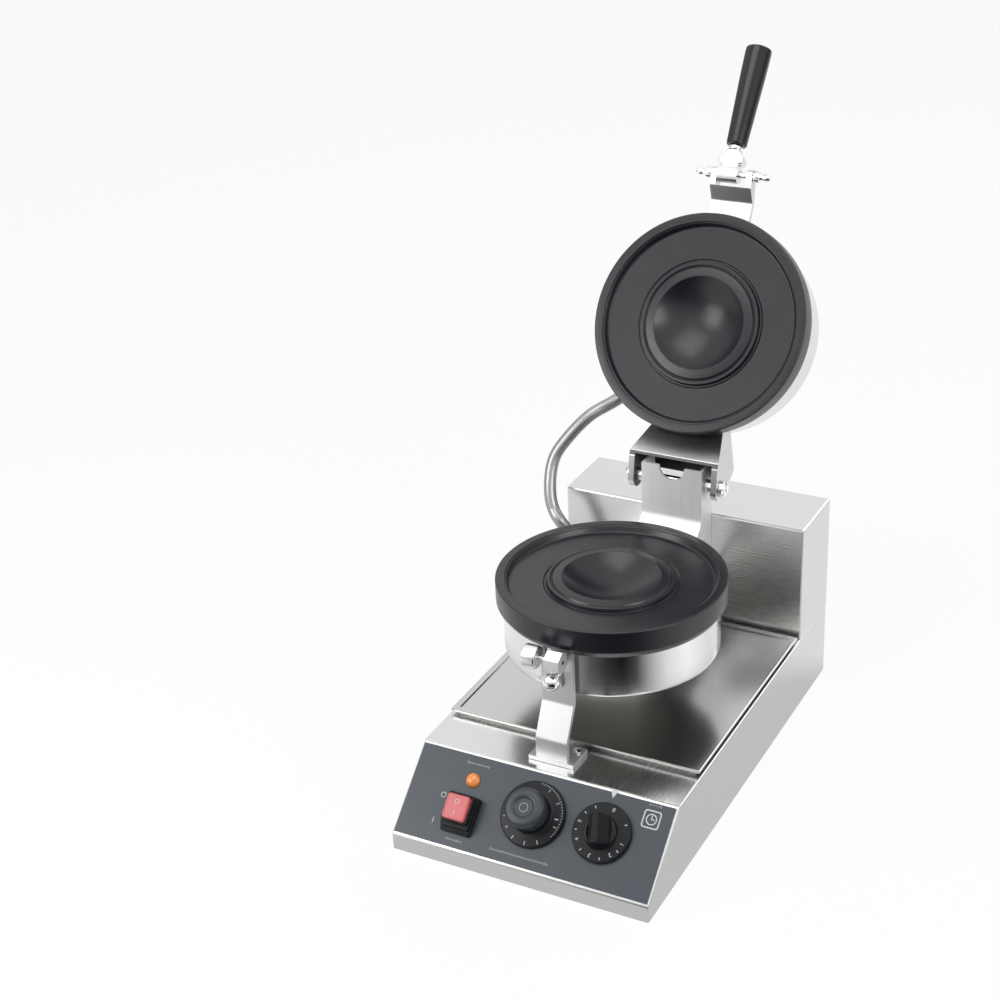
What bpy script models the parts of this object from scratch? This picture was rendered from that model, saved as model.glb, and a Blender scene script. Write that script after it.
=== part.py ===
"""Countertop burger press with a hinged lid: two round moulded hot plates in steel pans over a
steel base, closed by a black handle. Metres, +Z up, the origin on the underside at the middle
of the base, the front towards -Y. The lid is shown open, as it rests against its stop."""
import math

import bmesh
import bpy
from mathutils import Matrix, Vector

# Overall sizes
BASE_W = 0.2500
BASE_D = 0.4452
DECK_Z = 0.0753
SHEET = 0.0012
BEND_R = 0.0016
GAP = 0.0003
OVERRUN = 0.0020
ROUND_STEPS = 48
SMALL_STEPS = 20
ROUTE_STEPS = 5
WELD = 0.00002

# Base shell, underside plate and control panel
LIP_H = 0.0167
PANEL_RUN = 0.0662
UNDER_SHEET = 0.0015
UNDER_SLOT_L = 0.0500
UNDER_SLOT_W = 0.0040
UNDER_SLOT_CORNER_R = 0.00196
UNDER_SLOT_PITCH = 0.0120
UNDER_SLOT_COUNT = 5
UNDER_SLOT_X = 0.0600
UNDER_SCREW_INSET = 0.0120
PANEL_MARGIN = 0.0020
PANEL_SHEET = 0.0010

# Rear housing
REAR_D = 0.0766
REAR_TOP_Z = 0.1947
REAR_INSET = 0.0020

# Drip tray
TRAY_TO_BRACKET = 0.0075
TRAY_SIDE_GAP = 0.0012
TRAY_REAR_GAP = 0.0060
TRAY_H = 0.0054
TRAY_RIM_T = 0.0026
TRAY_FOOT_IN = 0.0060
TRAY_BORDER = 0.0060
TRAY_DIP = 0.0012
TRAY_EDGE = 0.0007
TRAY_LIFT_CLEAR = 0.0300

# Hot plates and their pans
PAN_TO_STEP = 0.0647
PARTING_Z = 0.2047
PARTING_GAP = 0.0006
PLATE_OVERHANG = 0.0065
PLATE_SIDE_H = 0.0205
PLATE_T = 0.0272
PLATE_FOOT_IN = 0.0048
PLATE_EDGE_R = 0.0008
RIM_IN = 0.0083
WALL_STEP_IN = 0.0088
WALL_STEP_H = 0.0011
WALL_COVE_IN = 0.0100
WALL_COVE_H = 0.0015
FLOOR_IN = 0.0126
COVE_FOOT_IN = 0.0115
COVE_FOOT_H = 0.0048
FLOOR_DEPTH = 0.0065
RING_FOOT_OUT = 0.0153
CREST_OUT = 0.0126
CREST_IN_OUT = 0.0110
CREST_DEPTH = 0.0030
GROOVE_OUT = 0.0096
GROOVE_DEPTH = 0.0046
BAND_OUT = 0.0083
BAND_DEPTH = 0.0024
BOWL_SHARE = 0.4272
BOWL_LIP_DEPTH = 0.0016
BOWL_DEPTH = 0.0190
PAN_R = 0.0993
PAN_H = 0.0427
PAN_BEND_R = 0.0025

# Heating parts inside the pans
HEATER_SHARE = 0.745
HEATER_TUBE_R = 0.0040
TERMINAL_R = 0.0020
TERMINAL_L = 0.0200
TERMINAL_SPACING = 0.0140
CLAMP_SHARE = 0.886
CLAMP_W = 0.0160
CLAMP_T = 0.0030
INSULATION_T = 0.0160
BULB_R = 0.0030
BULB_L = 0.0600
BULB_X = 0.0250

# Lid hinge
HINGE_FROM_PAN = 0.05104
HINGE_UP = 0.0266
LID_OPEN = math.radians(119.45)
HINGE_BOLT_R = 0.0040
BOLT_HEAD_R = 0.0080
BOLT_HEAD_T = 0.0055
BOLT_CROWN_SHARE = 0.8
BOLT_EDGE_SHARE = 0.7
SPACER_R = 0.0064

# Hinge bracket, a folded channel welded to the rear housing
CHANNEL_W = 0.0620
CHANNEL_T = 0.0030
CHANNEL_REACH = 0.01244
CHANNEL_ABOVE = 0.0192
CHANNEL_KNEE_BELOW = 0.0353
CHANNEL_FOOT_BELOW = 0.0693
CHANNEL_FOOT_H = 0.0130
CHANNEL_REAR_BELOW = 0.0983
NOTCH_R = 0.0130
NOTCH_DROP = 0.0005

# Lid arm, the cast clevis at the back of the lid
ARM_EAR_X = 0.0455
ARM_EAR_T = 0.0058
ARM_HEAD_X = 0.0345
ARM_WEB_T = 0.0052
ARM_LIP_R = 0.0214
ARM_LIP_LIFT = 0.0076
ARM_LIP_RETURN = 0.0060
ARM_TOP_LIFT = 0.0290
ARM_BACK_LIFT = 0.0540
ARM_BACK_R = 0.0220
ARM_BACK_T = 0.0022
ARM_BACK_END = 0.0100
ARM_BACK_END_LIFT = 0.0225
ARM_BOSS_R = 0.0125

# Front bracket and the keeper on it
BRACKET_X = -0.0030
BRACKET_FOOT_REACH = 0.0268
BRACKET_FOOT_W = 0.0440
BRACKET_FOOT_D = 0.0285
BRACKET_FOOT_T = 0.0042
BRACKET_W = 0.0305
BRACKET_T = 0.0045
BRACKET_LOW_REACH = 0.0253
BRACKET_HIGH_REACH = 0.0093
BRACKET_KNEE_LOW_UP = 0.0237
BRACKET_KNEE_HIGH_UP = 0.0547
BRACKET_TOP_BELOW = 0.0232
BRACKET_NOTCH_BELOW = 0.0407
BRACKET_NOTCH_IN = 0.0045
BRACKET_NOTCH_OUT = 0.0125
BRACKET_SCREW_X = 0.0158
BRACKET_SCREW_BACK = 0.0215
SCREW_R = 0.0020
SCREW_HEAD_R = 0.0038
SCREW_HEAD_T = 0.0022
SCREW_L = 0.0060
BALL_R = 0.0082
BALL_BELOW = 0.0472
BALL_STUD_R = 0.0040
KEEPER_TAIL_W = 0.0120
KEEPER_TAIL_T = 0.0035
KEEPER_TAIL_BELOW = 0.0562
KEEPER_R = 0.0104
KEEPER_L = 0.0140
KEEPER_BELOW = 0.0257
KEEPER_X = 0.0015
KNOB_CENTER_X = -0.0215
KEEPER_PIN_R = 0.0018

# Lid bracket, cross bolt, yoke and handle
EYE_FROM_PAN = 0.04816
EYE_LIFT = 0.0190
LUG_HALF_W = 0.0210
LUG_EAR_T = 0.0060
LUG_EAR_D = 0.0120
LUG_WEB_T = 0.0050
LUG_WEB_LIFT = 0.0285
LUG_KNEE_BACK = 0.0240
LUG_DROP_BACK = 0.0120
LUG_DROP_LIFT = 0.0160
CROSS_BOLT_R = 0.0030
CROSS_NUT_R = 0.0056
CROSS_NUT_L = 0.0060
CROSS_TIP_L = 0.0110
CROSS_TIP_R = 0.0036
CROSS_POINT_R = 0.0022
CROSS_POINT_L = 0.0014
CROSS_TAPER_L = 0.0043
YOKE_X = -0.0040
YOKE_HUB_R = 0.0085
YOKE_HUB_W = 0.0200
YOKE_BODY_W = 0.0250
YOKE_BODY_T = 0.0130
YOKE_SHOULDER = 0.0150
YOKE_NECK_W = 0.0120
YOKE_L = 0.0240
YOKE_EDGE = 0.0015
HANDLE_LEAN = math.radians(6.4)
FERRULE_R = 0.0068
FERRULE_L = 0.0040
FERRULE_END_R = 0.0061
GRIP_START = 0.0285
GRIP_L = 0.0990
GRIP_LOW_R = 0.0100
GRIP_TOP_R = 0.0128
GRIP_EDGE_R = 0.0020
GRIP_BORE_R = 0.0036
ROD_R = 0.0030
ROD_IN_GRIP = 0.0600
ROD_START = 0.0094

# Cable conduit between the rear housing and the lid
CONDUIT_R = 0.0062
CONDUIT_ENTRY_SHARE = -0.38
CONDUIT_ENTRY_BELOW = 0.0697
BEND_SIDE = (-0.0186, -0.0317, -0.0379, -0.0393, -0.0320, -0.0114)
BEND_BACK = (-0.0189, -0.0149, -0.0079, 0.0031, 0.0131, 0.0301)
BEND_UP = (-0.0626, -0.0475, -0.0291, -0.0066, 0.0113, 0.0371)
GLAND_R = 0.0105
GLAND_L = 0.0100
GLAND_EDGE = 0.0020
GLAND_BORE_R = 0.0042
GLAND_STEM_R = 0.0070
GLAND_STEM_L = 0.0060
LID_GLAND_ANGLE = math.radians(136)
LID_GLAND_LIFT = 0.0450

# Controls on the panel, measured up the slope from its lower edge
PILOT_SHARE = -0.2604
PILOT_UP = 0.0640
PILOT_R = 0.0068
PILOT_H = 0.0045
PILOT_STEM_R = 0.0055
PILOT_STEM_L = 0.0220
SWITCH_SHARE = -0.2600
SWITCH_UP = 0.0316
SWITCH_W = 0.0300
SWITCH_L = 0.0350
BOOT_H = 0.0045
BOOT_STEP_SIDE = 0.00105
BOOT_STEP_LOW = 0.0039
BOOT_STEP_HIGH = 0.0003
BOOT_STEP_H = 0.0085
BOOT_COLLAR_H = 0.0130
BOOT_WALL = 0.0014
BOOT_NECK_W = 0.0220
BOOT_NECK_L = 0.0270
BOOT_EDGE = 0.0007
ROCKER_H = 0.0175
ROCKER_CLEAR = 0.0005
ROCKER_EDGE = 0.0012
ROCKER_TRAVEL = math.radians(6)
SWITCH_BODY_L = 0.0240
TEMP_SHARE = 0.0020
TEMP_UP = 0.0487
TIMER_SHARE = 0.2660
TIMER_UP = 0.0492
DIAL_R = 0.0300
DIAL_H = 0.0040
DIAL_EDGE = 0.0008
TEMP_KNOB_FOOT_R = 0.0190
TEMP_KNOB_TOP_R = 0.0184
TEMP_KNOB_H = 0.0280
TEMP_KNOB_DISH_R = 0.0085
TEMP_KNOB_DISH_D = 0.0015
TEMP_KNOB_EDGE = 0.0030
TIMER_DIAL_R = 0.0267
TIMER_HUB_R = 0.0155
TIMER_HUB_H = 0.0080
BLADE_R = 0.0145
BLADE_FOOT_W = 0.0190
BLADE_TOP_W = 0.0050
BLADE_SHOULDER_H = 0.0110
BLADE_H = 0.0225
BLADE_TURN = math.radians(15)
SHAFT_R = 0.0030
SHAFT_HOLE_R = 0.0045
THERMOSTAT_W = 0.0340
THERMOSTAT_H = 0.0220
TIMER_BODY_W = 0.0420
TIMER_BODY_H = 0.0260

# Wiring parts in the base and at the back
BLOCK_L = 0.0600
BLOCK_W = 0.0220
BLOCK_H = 0.0180
BLOCK_FROM_BACK = 0.1452
GROMMET_R = 0.0120
GROMMET_BORE_R = 0.0080
GROMMET_T = 0.0040
GROMMET_FROM_BACK = 0.0400
INLET_Z = 0.0400
INLET_SHARE = -0.28
INLET_R = 0.0110
INLET_L = 0.0140
INLET_BORE_R = 0.0045
INLET_STEM_L = 0.0120
INLET_CAP_T = 0.0020
INLET_TAPER_SHARE = 0.6
SLEEVE_R = 0.0050
SLEEVE_Z = 0.1400

# Worked out from the sizes above
FRONT_Y = -BASE_D / 2
REAR_Y = BASE_D / 2
STEP_Y = REAR_Y - REAR_D
PANEL_RISE = DECK_Z - LIP_H
PANEL_L = math.hypot(PANEL_RUN, PANEL_RISE)
PANEL_TILT = math.atan2(PANEL_RISE, PANEL_RUN)
PLATE_Y = STEP_Y - PAN_R - PAN_TO_STEP
PAN_FRONT_Y = PLATE_Y - PAN_R
PLATE_R = PAN_R + PLATE_OVERHANG
BOWL_R = PLATE_R * BOWL_SHARE
HINGE_BACK = PAN_R + HINGE_FROM_PAN
HINGE_Y = PLATE_Y + HINGE_BACK
HINGE_Z = PARTING_Z + HINGE_UP
LID_RIM = PARTING_GAP - HINGE_UP
PLATE_BACK_Z = PARTING_Z - PLATE_T
PAN_TOP_Z = PLATE_BACK_Z - GAP
EYE_Y = -HINGE_BACK - PAN_R - EYE_FROM_PAN
BRACKET_FRONT_Y = PAN_FRONT_Y - BRACKET_HIGH_REACH
BALL_Z = PARTING_Z - BALL_BELOW
KEEPER_Z = PARTING_Z - KEEPER_BELOW
CONDUIT_ENTRY_X = BASE_W * CONDUIT_ENTRY_SHARE
CONDUIT_ENTRY_Z = PARTING_Z - CONDUIT_ENTRY_BELOW
PILOT_X = BASE_W * PILOT_SHARE
SWITCH_X = BASE_W * SWITCH_SHARE
TEMP_X = BASE_W * TEMP_SHARE
TIMER_X = BASE_W * TIMER_SHARE
INLET_X = BASE_W * INLET_SHARE
EYE_Z = EYE_LIFT - HINGE_UP

MACHINE = bpy.data.collections.new("burger_press")
CUTTERS = bpy.data.collections.new("cutters")


def clear_scene():
    """Removes what a new file holds, then adds the two collections."""
    for item in list(bpy.data.objects):
        bpy.data.objects.remove(item, do_unlink=True)
    bpy.context.scene.collection.children.link(MACHINE)
    bpy.context.scene.collection.children.link(CUTTERS)


def material(name, color, roughness, metallic):
    """One Principled material for a kind of finish."""
    found = bpy.data.materials.get(name)
    if found:
        return found
    made = bpy.data.materials.new(name)
    made.use_nodes = True
    shader = made.node_tree.nodes["Principled BSDF"]
    shader.inputs["Base Color"].default_value = (*color, 1)
    shader.inputs["Roughness"].default_value = roughness
    shader.inputs["Metallic"].default_value = metallic
    return made


def steel():
    return material("brushed_steel", (0.62, 0.62, 0.61), 0.30, 1)


def cast():
    return material("cast_aluminium", (0.80, 0.80, 0.81), 0.42, 1)


def chrome():
    return material("chrome", (0.88, 0.88, 0.90), 0.08, 1)


def coating():
    return material("black_coating", (0.030, 0.032, 0.038), 0.45, 0)


def black():
    return material("black_plastic", (0.012, 0.013, 0.015), 0.30, 0)


def slate():
    return material("panel_film", (0.075, 0.092, 0.110), 0.40, 0)


def amber():
    return material("amber_lens", (0.90, 0.26, 0.06), 0.25, 0)


def red():
    return material("rocker_red", (0.62, 0.09, 0.09), 0.30, 0)


def ceramic():
    return material("ceramic", (0.75, 0.72, 0.65), 0.60, 0)


def wool():
    return material("mineral_wool", (0.55, 0.50, 0.38), 0.95, 0)


def put(name, mesh, finish, parent=None, place=None, cutter=False):
    """Adds an object for a mesh, in the machine or among the cutters."""
    item = bpy.data.objects.new(name, mesh)
    (CUTTERS if cutter else MACHINE).objects.link(item)
    if finish:
        mesh.materials.clear()
        mesh.materials.append(finish)
    if parent:
        item.parent = parent
    if place:
        item.matrix_local = place
    if cutter:
        item.hide_render = True
        item.display_type = "WIRE"
    return item


def empty(name, place, parent=None):
    """A bare axis that moving pieces hang on."""
    item = bpy.data.objects.new(name, None)
    MACHINE.objects.link(item)
    if parent:
        item.parent = parent
    item.matrix_local = place
    return item


def at(x, y, z):
    return Matrix.Translation(Vector((x, y, z)))


def turn(angle, axis):
    return Matrix.Rotation(angle, 4, axis)


def smooth(mesh, angle=math.radians(35)):
    mesh.shade_smooth()
    mesh.set_sharp_from_angle(angle=angle)


def block_mesh(name, size, center):
    """A box from a unit cube, its scale already applied."""
    form = bmesh.new()
    bmesh.ops.create_cube(form, size=1, matrix=at(*center) @ Matrix.Diagonal((*size, 1)))
    mesh = bpy.data.meshes.new(name)
    form.to_mesh(mesh)
    form.free()
    return mesh


def rod_mesh(name, radius, length, place=Matrix(), steps=SMALL_STEPS, far_radius=None):
    """A cylinder or cone that stands on its place and runs along its own +Z."""
    form = bmesh.new()
    far = radius if far_radius is None else far_radius
    bmesh.ops.create_cone(form, cap_ends=True, segments=steps, radius1=radius, radius2=far,
                          depth=length, matrix=place @ at(0, 0, length / 2))
    mesh = bpy.data.meshes.new(name)
    form.to_mesh(mesh)
    form.free()
    smooth(mesh)
    return mesh


def baked_mesh(item):
    """The evaluated mesh of an object, in the place the object holds; the object goes."""
    bpy.context.view_layer.update()
    graph = bpy.context.evaluated_depsgraph_get()
    mesh = bpy.data.meshes.new_from_object(item.evaluated_get(graph))
    mesh.transform(item.matrix_world)
    form = bmesh.new()
    form.from_mesh(mesh)
    bmesh.ops.remove_doubles(form, verts=form.verts, dist=WELD)
    bmesh.ops.recalc_face_normals(form, faces=form.faces)
    form.to_mesh(mesh)
    form.free()
    bpy.data.objects.remove(item, do_unlink=True)
    return mesh


def turned_mesh(name, profile, steps=ROUND_STEPS):
    """Turns an outline of (radius, height) points about Z with a Screw modifier."""
    line = bpy.data.meshes.new(name)
    points = [(radius, 0, height) for radius, height in profile]
    closed = min(radius for radius, height in profile) > 0
    edges = [(i, i + 1) for i in range(len(points) - 1)]
    if closed:
        edges.append((len(points) - 1, 0))
    line.from_pydata(points, edges, [])
    item = put(name + "_line", line, None)
    screw = item.modifiers.new("turn", "SCREW")
    screw.axis = "Z"
    screw.steps = steps
    screw.render_steps = steps
    screw.use_merge_vertices = True
    screw.merge_threshold = WELD
    mesh = baked_mesh(item)
    smooth(mesh)
    return mesh


def flat_mesh(name, outline, thickness, place=Matrix(), holes=()):
    """A plate cut to an outline, its thickness shared about its own middle plane."""
    curve = bpy.data.curves.new(name, "CURVE")
    curve.dimensions = "2D"
    curve.fill_mode = "BOTH"
    curve.extrude = thickness / 2
    for loop in (outline, *holes):
        spline = curve.splines.new("POLY")
        spline.points.add(len(loop) - 1)
        for point, (u, v) in zip(spline.points, loop):
            point.co = (u, v, 0, 1)
        spline.use_cyclic_u = True
    item = bpy.data.objects.new(name, curve)
    MACHINE.objects.link(item)
    item.matrix_world = place
    return baked_mesh(item)


def side_mesh(name, outline, width, center_x=0):
    """A plate whose outline is (y, z), as seen from the side, centred on an X place."""
    place = at(center_x, 0, 0) @ Matrix(((0, 0, 1, 0), (1, 0, 0, 0), (0, 1, 0, 0), (0, 0, 0, 1)))
    return flat_mesh(name, outline, width, place)


def front_mesh(name, outline, depth, center_y):
    """A plate whose outline is (x, z), as seen from the front, centred on a Y place."""
    place = at(0, center_y, 0) @ Matrix(((1, 0, 0, 0), (0, 0, -1, 0), (0, 1, 0, 0), (0, 0, 0, 1)))
    return flat_mesh(name, outline, depth, place)


def put_each(name, mesh, finish, places, parent=None):
    """Adds numbered copies of a piece, which share one mesh."""
    for number, place in enumerate(places, 1):
        put(f"{name}_{number}", mesh, finish, parent, place)


def arc(center_u, center_v, radius, start, end, count):
    """Points along a circle, from one angle to another in degrees."""
    angles = [math.radians(start + (end - start) * i / (count - 1)) for i in range(count)]
    return [(center_u + radius * math.cos(a), center_v + radius * math.sin(a)) for a in angles]


def rounded_box(width, length, radius, count=4):
    """The outline of a rectangle with round corners, about its own middle."""
    corners = ((1, 1, 0), (-1, 1, 90), (-1, -1, 180), (1, -1, 270))
    outline = []
    for side_u, side_v, start in corners:
        outline += arc(side_u * (width / 2 - radius), side_v * (length / 2 - radius), radius,
                       start, start + 90, count)
    return outline


def combine(item, tool, operation, solver="EXACT"):
    """Adds one Boolean of an object with another from the cutters."""
    step = item.modifiers.new(tool.name, "BOOLEAN")
    step.operation = operation
    step.solver = solver
    step.object = tool


def cut(item, name, mesh, parent=None, place=None, solver="EXACT"):
    combine(item, put(name, mesh, None, parent, place, cutter=True), "DIFFERENCE", solver)


def add(item, name, mesh, parent=None, place=None):
    combine(item, put(name, mesh, None, parent, place, cutter=True), "UNION")


def bevel(item, width, segments=2, angle=math.radians(40)):
    step = item.modifiers.new("edge", "BEVEL")
    step.width = width
    step.segments = segments
    step.limit_method = "ANGLE"
    step.angle_limit = angle
    step.harden_normals = False


def inset(outline, depth):
    """A convex outline drawn in by an even depth, its points running clockwise."""
    lines = []
    for start, end in zip(outline, outline[1:] + outline[:1]):
        way = Vector((end[0] - start[0], end[1] - start[1])).normalized()
        lines.append((Vector(start) + depth * Vector((way.y, -way.x)), way))
    corners = []
    for (spot, way), (other, across) in zip(lines[-1:] + lines[:-1], lines):
        gap = other - spot
        along = (gap.x * across.y - gap.y * across.x) / (way.x * across.y - way.y * across.x)
        corners.append(tuple(spot + along * way))
    return corners


def folded_cover(name, crest, low):
    """A sheet cover, open below, whose crest is (y, z) points from the front to the back."""
    front, back = crest[0][0], crest[-1][0]
    skirt = 2 * BEND_R
    outline = [(front, low - skirt), *crest, (back, low - skirt)]
    item = put(name, side_mesh(name, outline, BASE_W), steel())
    bevel(item, BEND_R)
    deeper = [(front, low - 2 * skirt), *crest, (back, low - 2 * skirt)]
    inside = put(name + "_inside", side_mesh("inside", inset(deeper, SHEET),
                                             BASE_W - 2 * SHEET), None, cutter=True)
    bevel(inside, BEND_R - SHEET, 1)
    combine(item, inside, "DIFFERENCE")
    trim = (BASE_W + 2 * skirt, back - front + 2 * skirt, 4 * skirt)
    cut(item, name + "_trim", block_mesh("trim", trim, (0, (front + back) / 2, low - 2 * skirt)))
    return item


def panel_place(x, up, out=0):
    """The frame of a control: Z along the panel's normal, Y up its slope."""
    lower = at(0, FRONT_Y, LIP_H) @ turn(PANEL_TILT, "X")
    return lower @ at(x, up, out)


def screw_profile(head_r, head_t, shank_r, shank_l):
    """A pan-head screw, its head above zero and its shank below."""
    crown = arc(0, head_t - head_r, head_r, 90, 65, 4)
    outline = [(0, head_t)] + [(u, (head_t + v) / 2) for u, v in crown[1:]]
    outline += [(head_r, head_t / 2), (head_r, 0), (shank_r, 0), (shank_r, -shank_l)]
    return outline + [(0, -shank_l)]


def base_shell():
    """The folded steel body: lip, sloping panel face, deck, sides and back, open below."""
    item = folded_cover("base_shell", [(FRONT_Y, LIP_H), (FRONT_Y + PANEL_RUN, DECK_Z),
                                       (REAR_Y, DECK_Z)], 0)
    deep = SWITCH_BODY_L
    window = (BOOT_NECK_W + 2 * GAP, BOOT_NECK_L + 2 * GAP, deep)
    cut(item, "switch_window", block_mesh("switch_window", window, (0, 0, 0)),
        place=panel_place(SWITCH_X, SWITCH_UP), solver="MANIFOLD")
    for label, x, up, radius in (("pilot", PILOT_X, PILOT_UP, PILOT_STEM_R + GAP),
                                 ("temp", TEMP_X, TEMP_UP, SHAFT_HOLE_R),
                                 ("timer", TIMER_X, TIMER_UP, SHAFT_HOLE_R)):
        cut(item, label + "_hole", rod_mesh(label, radius, 2 * deep, at(0, 0, -deep)),
            place=panel_place(x, up))
    for side in (-1, 1):
        place = at(BRACKET_X + side * BRACKET_SCREW_X, bracket_screw_y(), DECK_Z - SCREW_L)
        cut(item, "foot_hole", rod_mesh("foot_hole", SCREW_R + GAP, 2 * SCREW_L), place=place)
    cut(item, "grommet_hole", rod_mesh("grommet_hole", GROMMET_R + GAP, 2 * SCREW_L),
        place=at(0, REAR_Y - GROMMET_FROM_BACK, DECK_Z - SCREW_L))
    cut(item, "inlet_hole", rod_mesh("inlet_hole", INLET_BORE_R + SHEET + GAP, 2 * SCREW_L),
        place=at(INLET_X, REAR_Y + SCREW_L, INLET_Z) @ turn(math.radians(90), "X"))


def bottom_plate():
    """The vented plate that closes the underside, and the screws at its corners."""
    inner_w = BASE_W - 2 * (SHEET + GAP)
    inner_d = BASE_D - 2 * (SHEET + GAP)
    item = put("bottom_plate", block_mesh("bottom_plate", (inner_w, inner_d, UNDER_SHEET),
                                          (0, 0, UNDER_SHEET / 2)), steel())
    for side in (-1, 1):
        for row in range(UNDER_SLOT_COUNT):
            y = (row - (UNDER_SLOT_COUNT - 1) / 2) * UNDER_SLOT_PITCH
            slot = flat_mesh("slot", rounded_box(UNDER_SLOT_L, UNDER_SLOT_W, UNDER_SLOT_CORNER_R),
                             2 * OVERRUN, at(side * UNDER_SLOT_X, y, 0))
            cut(item, "vent_slot", slot)
    places = [at(sx * (inner_w / 2 - UNDER_SCREW_INSET), sy * (inner_d / 2 - UNDER_SCREW_INSET),
                 UNDER_SHEET + GAP) for sx in (-1, 1) for sy in (-1, 1)]
    nut = turned_mesh("bottom_plate_screw",
                      screw_profile(SCREW_HEAD_R, SCREW_HEAD_T, SCREW_R, UNDER_SHEET), SMALL_STEPS)
    for place in places:
        cut(item, "corner_hole", rod_mesh("corner_hole", SCREW_R + GAP, 2 * OVERRUN),
            place=place @ at(0, 0, -OVERRUN - UNDER_SHEET))
    put_each("bottom_plate_screw", nut, chrome(), places)


def rear_housing():
    """The separate steel cover on the back of the deck, with its cable holes."""
    item = folded_cover("rear_housing", [(STEP_Y, REAR_TOP_Z), (REAR_Y, REAR_TOP_Z)],
                        DECK_Z + GAP)
    front = turn(math.radians(90), "X")
    cut(item, "conduit_hole", rod_mesh("conduit_hole", GLAND_STEM_R + GAP, 2 * GLAND_STEM_L),
        place=at(CONDUIT_ENTRY_X, STEP_Y + GLAND_STEM_L, CONDUIT_ENTRY_Z) @ front)
    cut(item, "sleeve_hole", rod_mesh("sleeve_hole", SLEEVE_R + GAP, 2 * GLAND_STEM_L),
        place=at(0, STEP_Y + GLAND_STEM_L, SLEEVE_Z) @ front)


def control_panel():
    """The slate panel film on the slope, with the holes for its controls."""
    width = BASE_W - 2 * PANEL_MARGIN
    length = PANEL_L - 2 * PANEL_MARGIN
    mesh = block_mesh("control_panel", (width, length, PANEL_SHEET), (0, 0, 0))
    middle = panel_place(0, PANEL_L / 2, GAP + PANEL_SHEET / 2)
    item = put("control_panel", mesh, slate(), place=middle)
    window = (BOOT_NECK_W + 2 * GAP, BOOT_NECK_L + 2 * GAP, SWITCH_L)
    cut(item, "film_window", block_mesh("film_window", window, (0, 0, 0)),
        place=panel_place(SWITCH_X, SWITCH_UP))
    for label, x, up, radius in (("film_pilot", PILOT_X, PILOT_UP, PILOT_STEM_R + GAP),
                                 ("film_temp", TEMP_X, TEMP_UP, SHAFT_HOLE_R),
                                 ("film_timer", TIMER_X, TIMER_UP, SHAFT_HOLE_R)):
        cut(item, label, rod_mesh(label, radius, 2 * OVERRUN, at(0, 0, -OVERRUN)),
            place=panel_place(x, up, GAP))


def panel_front():
    """How far the face of the panel film stands off the panel."""
    return GAP + PANEL_SHEET


def pilot_light():
    """The amber lens and the lamp body behind the panel."""
    place = panel_place(PILOT_X, PILOT_UP, panel_front() + GAP)
    dome = arc(0, 0, PILOT_R, 90, 0, 6)
    lens = [(u, v * PILOT_H / PILOT_R) for u, v in dome] + [(PILOT_STEM_R, 0)]
    lens += [(PILOT_STEM_R, -panel_front() - SHEET - GAP), (0, -panel_front() - SHEET - GAP)]
    put("pilot_lens", turned_mesh("pilot_lens", lens, SMALL_STEPS), amber(), place=place)
    behind = panel_place(PILOT_X, PILOT_UP, -SHEET - 2 * GAP - PILOT_STEM_L)
    put("pilot_lamp_body", rod_mesh("pilot_lamp_body", PILOT_R, PILOT_STEM_L), ceramic(),
        place=behind)


def boot_block(name, low_in, high_in, side_in, bottom, top):
    """One step of the boot: how far it is in from the flange's low, high and side edges."""
    size = (SWITCH_W - 2 * side_in, SWITCH_L - low_in - high_in, top - bottom)
    return block_mesh(name, size, (0, (low_in - high_in) / 2, (top + bottom) / 2))


def switch():
    """The stepped black boot, the red rocker that tilts in it and the body behind."""
    face = panel_front() + GAP
    place = panel_place(SWITCH_X, SWITCH_UP, face)
    boot = put("rocker_boot", boot_block("rocker_boot", 0, 0, 0, 0, BOOT_H), black(),
               place=place)
    bevel(boot, BOOT_EDGE, 2)
    low, high, side = BOOT_STEP_LOW, BOOT_STEP_HIGH, BOOT_STEP_SIDE
    step = boot_block("boot_step", low, high, side, BOOT_H / 2, BOOT_STEP_H)
    add(boot, "boot_step", step, place=place)
    low, high, side = 2 * low, high + GAP, 2 * side
    collar = boot_block("boot_collar", low, high, side, BOOT_H / 2, BOOT_COLLAR_H)
    add(boot, "boot_collar", collar, place=place)
    neck_h = face + SHEET + BOOT_H / 2
    neck = block_mesh("boot_neck", (BOOT_NECK_W, BOOT_NECK_L, neck_h),
                      (0, 0, BOOT_H / 2 - neck_h / 2))
    add(boot, "boot_neck", neck, place=place)
    wall = BOOT_WALL
    well = boot_block("boot_well", low + wall, high + wall, side + wall, BOOT_H,
                      BOOT_COLLAR_H + OVERRUN)
    cut(boot, "boot_well", well, place=place)
    wall += ROCKER_CLEAR
    foot = BOOT_H + BOOT_WALL
    mesh = boot_block("rocker", low + wall, high + wall, side + wall, foot, ROCKER_H)
    middle = at(0, (low - high) / 2, foot)
    mesh.transform(turn(ROCKER_TRAVEL / 2, "X") @ middle.inverted())
    pivot = empty("rocker_pivot", place @ middle)
    rocker = put("rocker", mesh, red(), parent=pivot)
    bevel(rocker, ROCKER_EDGE, 2)
    under = -face - SHEET - GAP
    put("switch_body", block_mesh("switch_body", (SWITCH_W, SWITCH_L, SWITCH_BODY_L),
                                  (0, 0, under - SWITCH_BODY_L / 2)), black(),
        place=panel_place(SWITCH_X, SWITCH_UP, face))


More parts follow.
